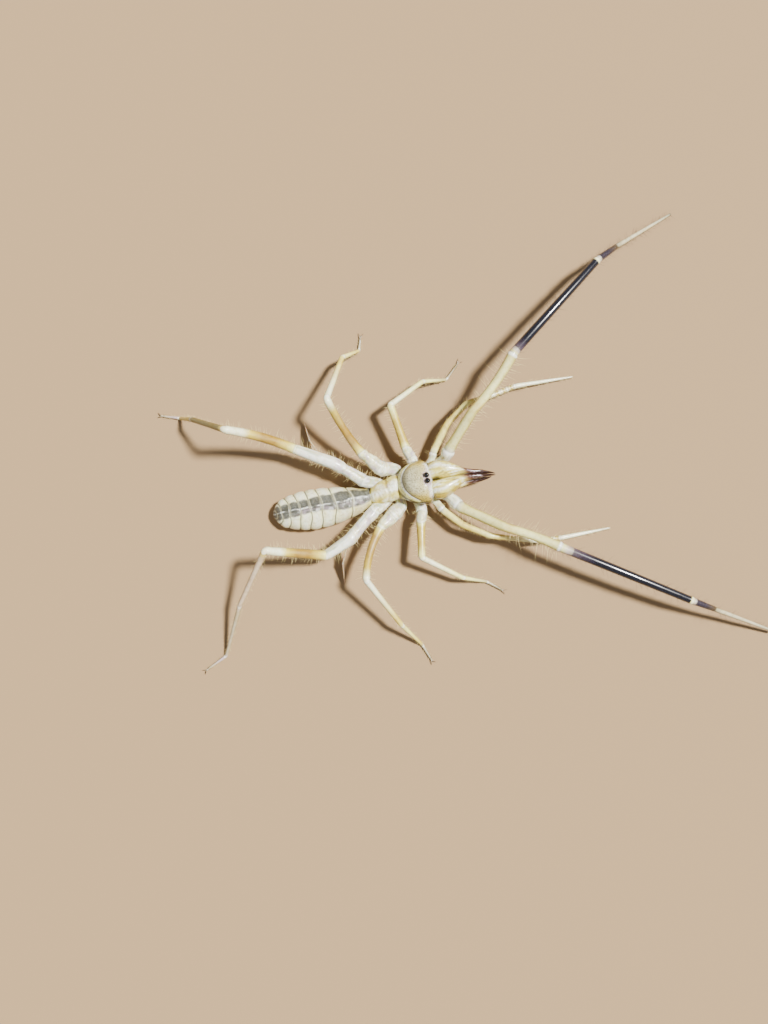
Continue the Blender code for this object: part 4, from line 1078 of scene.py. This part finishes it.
@dataclass
class Thorax:
    """The back plates behind the head shield and the belly side under it.

    Attributes:
        sections: rows of a Section's numbers.
        sutures: x of the seams between the plates.
    """

    sections: tuple = (
        (-5.9, 1.0, 3.0, 4.1, 5.0), (-5.5, 1.7, 2.6, 4.0, 5.4), (-4.6, 2.2, 2.0, 4.0, 5.9),
        (-2.6, 2.5, 1.6, 4.0, 6.4), (-0.4, 2.6, 1.5, 4.0, 6.7), (0.4, 2.6, 1.5, 4.0, 6.4),
        (1.5, 3.0, 1.5, 4.2, 6.2), (3.0, 3.7, 1.5, 4.4, 6.2), (5.5, 4.0, 1.6, 4.4, 6.0),
        (6.8, 3.6, 1.8, 4.4, 5.8), (7.6, 2.2, 2.4, 4.2, 5.2))
    sutures: tuple = (-4.4, -1.7)
    rings: int = 200
    sides: int = 150

    def build(self) -> None:
        """Makes the trunk: half ellipses with raised plates parted by bent sutures."""
        x = np.linspace(self.sections[0][0], self.sections[-1][0], self.rings)
        half, bottom, level, top, _ = section_rows(self.sections, x)
        across, rise = circle(self.sides, -np.pi / 2)
        flat = np.stack([x[:, None] + 0 * across, 2.5 * across + 0 * x[:, None],
                         0 * across + 0 * x[:, None]], -1)
        bent = x[:, None] + 0.5 * np.abs(across) ** 1.5 + 0.7 * noise(flat, 1.5, 36)
        suture = sum(bump(bent, place, 0.45) for place in self.sutures) * (
            0.45 + 0.55 * np.clip(0.5 + 1.2 * noise(flat, 1.1, 37), 0, 1))
        y = half[:, None] * across * (1 - 0.06 * suture)
        z = level[:, None] + half_heights(bottom, level, top, rise) * rise
        z = z - 0.2 * suture * np.clip(rise + 0.3, 0, 1) * (rise > 0)
        rows = np.stack([flat[..., 0], middle(x)[:, None] + y, z], -1)
        lump = noise(rows, 1.5, 31) + 0.45 * noise(rows, 0.6, 32)
        rows[..., 2] += 0.2 * lump * (rise > 0)
        patch = noise(rows, 1.0, 35)
        centre = bump(np.hypot((x[:, None] + 3.3) / 1.7, across / 0.5), 0.0, 0.8)
        tint = layered(
            IVORY,
            # Painted shade, partly the hide's own yellow: yellower in the low places between the lumps
            # and along the sutures.
            (PALE_YELLOW, np.clip(0.5 * noise(rows, 1.3, 33) - 0.4 * lump + 0.25, 0, 0.8)),
            (WAX_WHITE, np.clip(1.3 * noise(rows, 0.9, 34) - 0.2, 0, 0.9)),
            (PALE_YELLOW, 0.6 * suture * (rise > -0.2)),
            # Painted highlight, partly the hide's own lilac: lilac patches and a white middle stripe
            # only on the upper side.
            (LILAC, 0.75 * np.clip(1.5 * patch - 0.2, 0, 1) * (rise > 0.2)),
            (LILAC, 0.6 * centre * np.clip(0.5 + patch, 0, 1) * (rise > 0)),
            (COOL_WHITE, 0.7 * bump(across + 0.25 * noise(flat, 0.9, 38), 0.05, 0.28) * (rise > 0)))
        made = closed_rings(rows[::-1, ::-1], tint[::-1, ::-1])
        made.mesh_object("skin_thorax", THORAX_FINISH, "thorax")


@dataclass
class Jaw:
    """One chelicera: the swollen base with the fixed finger, and the hinged lower finger.

    Attributes:
        side: which one.
        base: rows of a Section's numbers for the upper part.
        lower: the same for the lower finger.
    """

    side: Side
    base: tuple = (
        (6.8, 1.5, 4.3, 5.7, 6.9, 0.03), (7.3, 1.9, 3.8, 5.7, 7.6, 0.03),
        (8.2, 2.05, 3.5, 5.7, 8.05, 0.03), (9.4, 2.0, 3.4, 5.7, 8.15, 0.03),
        (10.3, 1.85, 3.4, 5.7, 8.05, 0.03), (11.1, 1.675, 3.4, 5.6, 7.9, 0.03),
        (12.2, 1.325, 3.8, 5.5, 7.6, 0.03), (13.0, 1.025, 4.4, 5.5, 7.3, 0.03),
        (14.1, 0.71, 4.7, 5.5, 6.9, 0.03), (15.5, 0.54, 4.8, 5.4, 6.3, 0.03),
        (17.5, 0.425, 4.7, 5.1, 5.8, 0.03), (19.2, 0.25, 4.2, 4.55, 5.0, 0.05),
        (20.1, 0.15, 3.8, 4.05, 4.3, 0.08), (20.6, 0.06, 3.5, 3.58, 3.66, 0.1))
    lower: tuple = (
        (11.2, 0.45, 2.6, 2.9, 3.3, 0.4), (12.1, 0.8, 2.1, 2.9, 3.7, 0.35),
        (12.9, 0.875, 2.05, 3.1, 4.0, 0.35), (14.0, 0.7, 2.1, 2.9, 3.6, 0.35),
        (15.6, 0.525, 2.2, 2.8, 3.4, 0.35), (17.4, 0.4, 2.5, 2.95, 3.4, 0.35),
        (18.8, 0.25, 2.95, 3.2, 3.5, 0.35), (19.7, 0.075, 3.35, 3.45, 3.55, 0.35))

    def build(self) -> None:
        """Makes both fingers with their teeth."""
        upper = self._finger(self.base, 190, 72)
        teeth = [self._tooth(x, 5.0, 4.25, 0.62) for x in (14.4, 15.3, 16.2, 17.1, 17.9)]
        Sheet.joined([upper, *teeth]).mesh_object(f"jaw_{self.side.word}", JAW_FINISH,
                                                  f"chelicera_{self.side.word}")
        lower = self._finger(self.lower, 110, 40)
        teeth = [self._tooth(x, 3.1, 3.85, 0.75) for x in (14.9, 16.1, 17.2)]
        Sheet.joined([lower, *teeth]).mesh_object(f"jaw_finger_{self.side.word}", JAW_FINISH,
                                                  f"finger_{self.side.word}")

    def _finger(self, sections: tuple, rings: int, sides: int) -> Sheet:
        """A skin over half ellipses across x."""
        x = np.linspace(sections[0][0], sections[-1][0], rings)
        half, bottom, level, top, gap = section_rows(sections, x)
        across, rise = circle(sides)
        y = (middle(x) + self.side.value * (half + gap))[:, None] + half[:, None] * across
        z = level[:, None] + half_heights(bottom, level, top, rise) * rise
        points = np.stack([np.repeat(x[:, None], sides, 1), y, z], -1)
        return closed_rings(rolled(points)[::-1], self._tint(points, across, rise)[::-1])

    def _tint(self, points: Array, across: Array, rise: Array) -> Array:
        """Ivory streaked with ochre, a white stripe, an olive flank, painted shade where the jaws part,
        then rose to maroon with painted lilac highlights.
        """
        x = points[..., 0]
        outer = across * self.side.value + 0 * x
        upper = rise > 0
        streak = noise(points * (0.3, 1.8, 1.0), 0.5, 41)
        flank = step(outer, 0.66, 0.25) * step(13.0 - x, 0, 1.5)
        fold = bump(outer, 0.7 + 0.02 * (x - 8.0), 0.035) * upper * step(12.6 - x, 0, 1.0)
        stripe = bump(outer, 0.3 - 0.06 * (x - 8.0), 0.17) * upper * step(12.6 - x, 0, 2.0)
        # Painted shade: dark maroon on the inner face near the base, where the two jaws part.
        gap_shade = bump(outer, -0.98, 0.2) * step(8.9 - x, 0, 0.5) * (rise > -0.3)
        slanted = x + 0.7 * across
        dark = step(slanted, 14.3, 1.2)
        pale = np.clip(noise(points * (0.5, 2.0, 1.0), 0.3, 43) - 0.2, 0, 1)
        return layered(
            IVORY, (PALE_YELLOW, np.clip(0.8 * streak + 0.2, 0, 0.6)),
            (COOL_WHITE, np.clip(-1.4 * streak - 0.2, 0, 0.8) * upper),
            (OLIVE, np.clip(noise(points * (0.4, 2, 1), 0.3, 42) - 0.35, 0, 0.6)),
            (PALE_YELLOW, 0.75 * flank), (EDGE_YELLOW, 0.5 * flank * step(outer, 0.85, 0.2)),
            (OLIVE, 0.6 * fold), (COOL_WHITE, 0.85 * stripe), (DEEP_MAROON, 0.85 * gap_shade),
            (ROSE, step(slanted, 13.7, 1.3)), (MAROON, dark), (DEEP_MAROON, step(x, 16.5, 3.0)),
            # Painted highlight: lilac flecks on the upper side of the dark fingers.
            (LILAC, 0.7 * dark * pale * step(17.6 - x, 0, 1.0) * (rise > 0.2)))

    def _tooth(self, x: float, root: float, tip: float, off: float) -> Sheet:
        """A cone from a finger's inner side: rings that shrink from root to tip."""
        part = np.linspace(0, 1, 8)
        radius = 0.27 * (1 - part) ** 0.8 + 0.01
        y = middle(x) + self.side.value * off
        ring = np.stack(circle(12), -1)[None] * radius[:, None, None]
        level = np.repeat((root + (tip - root) * part)[:, None, None], 12, 1)
        points = np.concatenate([ring, level], -1) + np.array((x, y, 0.0))
        points[..., 0] += (0.2 * part)[:, None]
        if tip < root:
            points = points[:, ::-1]
        return closed_rings(rolled(points), np.broadcast_to(DEEP_MAROON, points.shape))


@dataclass
class Claws:
    """The two long claws of each walking foot."""

    skins: list
    length: float = 1.6
    thickness: float = 0.3
    spread: float = 26.0

    def build(self) -> None:
        """Makes all claws as one piece: tapered tubes that arch and touch down."""
        sheets = []
        for skin in self.skins:
            if skin.limb.style.claws:
                tip = skin.path[-1]
                way = unit((skin.path[-1] - skin.path[-12]) * (1, 1, 0))
                sheets += [self._claw(tip, way, sign) for sign in (1, -1)]
        Sheet.joined(sheets).mesh_object("claws", CLAW_FINISH)

    def _claw(self, tip: Array, way: Array, sign: int) -> Sheet:
        """One claw of a foot, turned out by the spread angle."""
        part = np.linspace(0, 1, 16)
        turn = math.radians(self.spread) * sign * (0.4 + 0.6 * part)
        run = self.length * part - 0.3
        x = tip[0] + run * (way[0] * np.cos(turn) - way[1] * np.sin(turn))
        y = tip[1] + run * (way[0] * np.sin(turn) + way[1] * np.cos(turn))
        radius = self.thickness / 2 * (1 - 0.85 * part ** 1.3)
        z = 0.24 + 0.35 * np.sin(0.9 * np.pi * part)
        z = np.maximum(z - 0.22 * part, radius)
        rings, lie = tube_rings(np.stack([x, y, z], 1), radius, 12)
        far = np.repeat(step(part, 0.5, 0.4)[:, None], 12, 1)
        return closed_rings(rings, layered(PALE_GREY, (GREY_BROWN, far)), lie)


@dataclass
class RacquetOrgans:
    """The malleoli under the fourth legs: thin stalks that each carry a hanging fan.

    Attributes:
        skins: the finished limbs.
        rows: for each organ its place along the hip, its reach, its neck's height and its span.
        foot: height of the fans' lower edges.
        half_thickness: of a fan.
    """

    skins: list
    rows: tuple = ((0.16, 0.5, 2.5, 2.2), (0.34, 0.8, 2.6, 3.0), (0.5, 1.2, 2.8, 4.2),
                   (0.68, 5.2, 3.3, 7.6))
    foot: float = 0.6
    half_thickness: float = 0.14

    def build(self) -> None:
        """Makes all organs of both legs as one piece."""
        sheets = []
        for skin in self.skins:
            if skin.limb.kind == "leg4":
                hip = {"hip": (skin.spans["trochanter"][0], skin.spans["femur2"][1])}
                for place, reach, neck, span in self.rows:
                    at = int(np.searchsorted(skin.along, spot(hip, "hip", place)))
                    root = skin.path[at] + (0, 0, -0.6 * skin.radius[at])
                    sheets += self._organ(root, skin.limb.side.value, reach, neck, span)
        Sheet.joined(sheets).mesh_object(
            "racquet_organs", FAN_FINISH,
            *(f"leg4_{side.word}_organ{number}" for side in Side
              for number in range(1, len(self.rows) + 1)))

    def _organ(self, root: Array, side: int, reach: float, neck: float, span: float) -> list:
        """A stalk and its fan; the fan is a thin lens that widens downwards."""
        end = np.array((root[0] - 0.42 * reach, root[1] + side * 0.9 * reach, neck))
        part = np.linspace(0, 1, 20)[:, None]
        stalk = root + (end - root) * part + np.array((0, 0, 0.25)) * np.sin(np.pi * part)
        rings, _ = tube_rings(stalk, np.full(20, 0.16), 10)
        stem = closed_rings(rings, np.broadcast_to(PALE_GREY, rings.shape))
        across = unit(np.array((-0.12, side, 0.0)))
        thick = np.array((across[1], -across[0], 0.0))
        down = np.linspace(-0.1, 1, 26)
        wide = span / 2 * (0.12 + 0.88 * np.sin(np.clip(down, 0, 1) * np.pi / 2) ** 0.8)
        wide = wide * (1 - 0.25 * np.clip((down - 0.9) / 0.1, 0, 1))
        cos, sin = circle(40)
        rows = (np.array((end[0], end[1], 0.0)) + across * (0.08 * span * down)[:, None])[:, None]
        rows = rows + wide[:, None, None] * cos[:, None] * across
        rows = rows + self.half_thickness * sin[:, None] * thick
        rows[..., 2] = (neck + (self.foot - neck) * down)[:, None]
        tint = layered(MAUVE, (PALE_GREY, np.clip(0.5 + noise(rows, 0.8, 51), 0, 1)))
        if side < 0:
            rows, tint = rows[:, ::-1], tint[:, ::-1]
        return [stem, closed_rings(rows, tint)]


@dataclass(frozen=True)
class Coat:
    """A growth of hairs on a stretch of limbs.

    Attributes:
        name: the piece's name.
        kinds: which limbs.
        segments: which of their segments.
        per_mm: hairs for each mm of limb.
        length: mean length in mm.
        thickness: root thickness in mm.
        lean: 0 stands straight out and 1 lies along the limb.
        turns: least and most degrees away from straight down, on either side of the limb.
        curl: how far the tip bends back to the limb's way.
        colour: of the hairs.
    """

    name: str
    kinds: tuple
    segments: tuple
    per_mm: float
    length: float
    thickness: float
    lean: float
    turns: tuple
    curl: float
    colour: tuple = HAIR_PALE


ALL_LEGS = ("leg1", "leg2", "leg3", "leg4")
THIGHS = ("femur", "femur2", "patella")
SHANKS = ("tibia", "metatarsus", "foot")
COATS = (
    Coat("setae_palps", ("palp",), THIGHS, 2.6, 2.3, 0.07, 0.2, (62, 112), 0.08),
    Coat("setae_palps_long", ("palp",), ("patella",), 0.4, 3.8, 0.075, 0.15, (60, 100), 0.06),
    Coat("down_palps", ("palp",), THIGHS, 8, 0.9, 0.04, 0.3, (50, 120), 0.1),
    Coat("setae_palp_ends", ("palp",), SHANKS, 3, 1.5, 0.05, 0.4, (20, 120), 0.12, HAIR_DARK),
    Coat("setae_legs", ALL_LEGS[1:], THIGHS, 2.8, 1.6, 0.065, 0.15, (74, 108), 0.06),
    Coat("down_legs", ALL_LEGS, THIGHS, 5, 0.6, 0.035, 0.3, (60, 120), 0.1),
    Coat("setae_shanks", ALL_LEGS, SHANKS, 5, 0.8, 0.04, 0.4, (50, 120), 0.12),
    Coat("setae_hips", ALL_LEGS, ("trochanter",), 3, 1.2, 0.055, 0.2, (70, 105), 0.06),
)


def hair_sheet(roots: Array, ways: Array, bends: Array, lengths: Array, thickness: float,
               colour: tuple, patches: Array) -> Sheet:
    """Tapered, bent hairs of three sides: root plus way times length plus bend times its square.

    Args:
        roots: where the hairs start, in mm.
        ways: unit vectors that they leave along.
        bends: how far each tip is carried off, in mm.
        lengths: one for each hair.
        thickness: at the root, in mm.
        colour: of the hairs.
        patches: each hair's place in the coat's own map.

    Returns:
        The joined hairs.
    """
    count, levels, sides = len(roots), 5, 3
    part = np.linspace(0, 1, levels)
    centre = (roots[:, None] + ways[:, None] * (lengths[:, None] * part)[..., None]
              + bends[:, None] * (part ** 2)[None, :, None])
    first = unit(np.cross(ways, np.array((0.31, 0.17, 0.93))))
    second = np.cross(ways, first)
    cos, sin = circle(sides)
    ring = cos[:, None] * first[:, None] + sin[:, None] * second[:, None]
    radius = thickness / 2 * (1 - part) ** 0.7 + 0.004
    places = centre[:, :, None] + ring[:, None] * radius[None, :, None, None]
    index = np.arange(count * levels * sides).reshape(count, levels, sides)
    after = np.roll(index, -1, axis=2)
    quads = np.stack([index[:, :-1], after[:, :-1], after[:, 1:], index[:, 1:]], -1).reshape(-1, 4)
    ends = np.concatenate([index[:, 0, ::-1], index[:, -1]])
    tint = np.ones((count, levels, sides, 3)) * np.array(colour)
    small = np.stack(np.meshgrid(part, np.arange(sides) / sides, indexing="ij"), -1) * 0.003
    patch = patches[:, None, None] + small[None]
    return Sheet(places.reshape(-1, 3), quads, ends, tint.reshape(-1, 3), None,
                 patch.reshape(-1, 2))


@dataclass
class Hairs:
    """The long sparse hairs of the limbs, one piece for each coat."""

    skins: list
    first_seed: int = 700

    def build(self) -> None:
        """Grows every coat from a seeded draw."""
        for seed, coat in enumerate(COATS, self.first_seed):
            rng = np.random.default_rng(seed)
            sheets = [self._grown(coat, skin, rng) for skin in self.skins
                      if skin.limb.kind in coat.kinds]
            Sheet.joined(sheets).mesh_object(coat.name, HAIR_FINISH)

    def _grown(self, coat: Coat, skin: LimbSkin, rng: np.random.Generator) -> Sheet:
        """The hairs of one coat on one limb.

        Args:
            coat: which growth.
            skin: the limb's line and thickness.
            rng: the draw.

        Returns:
            The hairs.
        """
        spans = [skin.spans[name] for name in coat.segments if name in skin.spans]
        rows = []
        for start, end in spans:
            count = int(coat.per_mm * (end - start))
            steps = (np.arange(count) + 0.5 + rng.uniform(-0.4, 0.4, count)) / count
            rows.append(start + 0.2 + steps * (end - start - 0.35))
        places = np.concatenate(rows)
        away = rng.uniform(*coat.turns, len(places)) * rng.choice((-1, 1), len(places))
        turn = np.radians(away - 90)
        way, side, up = tube_frames(skin.path)
        at = np.clip(np.searchsorted(skin.along, places), 0, len(skin.along) - 1)
        out = np.cos(turn)[:, None] * side[at] + np.sin(turn)[:, None] * up[at]
        roots = skin.path[at] + out * (skin.radius[at] * 0.93)[:, None]
        lean = np.clip(coat.lean + rng.normal(0, 0.1, len(places)), 0, 0.9)[:, None]
        ways = unit(out * (1 - lean) + way[at] * lean + rng.normal(0, 0.08, out.shape))
        size = np.minimum(1.0, skin.radius[at] / 0.45)
        lengths = coat.length * size * rng.lognormal(-0.1, 0.22, len(places))
        bends = way[at] * (coat.curl * lengths)[:, None] - out * (0.06 * lengths)[:, None]
        tips = roots + ways * lengths[:, None] + bends
        short = np.clip((roots[:, 2] - 0.03) / np.maximum(roots[:, 2] - tips[:, 2], 1e-6), 0.05, 1)
        lengths = lengths * short
        bends = bends * short[:, None]
        patches = np.stack([0.002 + 0.99 * places / skin.along[-1],
                            (0.05 + 0.9 * (turn % (2 * np.pi)) / (2 * np.pi)
                             + self.skins.index(skin)) / 10], -1)
        return hair_sheet(roots, ways, bends, lengths, coat.thickness, coat.colour, patches)


@dataclass
class Studio:
    """The pale floor, the soft lights and the camera straight above.

    Attributes:
        height: of the camera.
        seen: length of ground that the frame's longer side shows.
        turn: of the camera, in degrees.
        centre: the place under the camera, in the body frame.
        floor_reach: from the middle to the floor's edges, in m.
        sky: strength of the light from all round.
    """

    height: float = 200.0
    seen: float = 217.9
    turn: float = -11.0
    centre: tuple = (-3.7, -4.3)
    floor_reach: float = 1.5
    sky: float = 0.3

    def build(self) -> None:
        """Sets the floor, the lights and the camera."""
        self._floor()
        self._sun("key", (101.0, 21.0, 169.0), 10.5, 7.0, (1.0, 0.985, 0.955))
        self._sun("fill", (-200.0, -160.0, 220.0), 0.4, 40.0, (0.93, 0.96, 1.0))
        world = bpy.data.worlds.new("studio")
        world.use_nodes = True
        sky = world.node_tree.nodes["Background"]
        sky.inputs["Color"].default_value = (0.95, 0.95, 1.0, 1.0)
        sky.inputs["Strength"].default_value = self.sky
        bpy.context.scene.world = world
        self._camera()

    def _floor(self) -> None:
        """A wide pale plate under the animal."""
        mesh = bpy.data.meshes.new("floor")
        reach = self.floor_reach
        mesh.from_pydata([(-reach, -reach, 0), (reach, -reach, 0), (reach, reach, 0),
                          (-reach, reach, 0)], [], [(0, 1, 2, 3)])
        made = bpy.data.materials.new("floor_pale")
        made.use_nodes = True
        wire(made.node_tree, made.node_tree.nodes["Principled BSDF"],
             {"Base Color": (*FLOOR_TAN, 1.0), "Roughness": 0.9})
        mesh.materials.append(made)
        placed("floor", mesh)

    def _sun(self, name: str, place: tuple, power: float, spread: float, colour: tuple) -> None:
        """An even light that comes from a place (mm) with a soft edge of spread degrees."""
        lamp = bpy.data.lights.new(name, "SUN")
        lamp.energy = power
        lamp.angle = math.radians(spread)
        lamp.color = colour
        made = placed(name, lamp)
        made.location = Vector(place) * MM
        made.rotation_euler = (-made.location).to_track_quat("-Z", "Y").to_euler()

    def _camera(self) -> None:
        """Looks straight down on the photograph's middle, turned as the photograph is."""
        data = bpy.data.cameras.new("camera")
        data.sensor_width = 36.0
        data.lens = data.sensor_width * self.height / self.seen
        data.clip_start = 0.005
        data.clip_end = 10.0
        camera = placed("camera", data)
        camera.location = Vector((self.centre[0] + PLACE[0], self.centre[1] + PLACE[1],
                                  self.height)) * MM
        camera.rotation_euler = (0.0, 0.0, math.radians(self.turn))
        bpy.context.scene.camera = camera


def main() -> None:
    """Builds every piece of the dressed animal in order."""
    logging.basicConfig(level=logging.INFO, format="%(name)s %(message)s")
    Studio().build()
    Abdomen().build()
    Thorax().build()
    Shield().build()
    for side in Side:
        Jaw(side).build()
    skins = [limb.build() for limb in limbs()]
    Claws(skins).build()
    RacquetOrgans(skins).build()
    Hairs(skins).build()


if __name__ == "__main__":
    main()
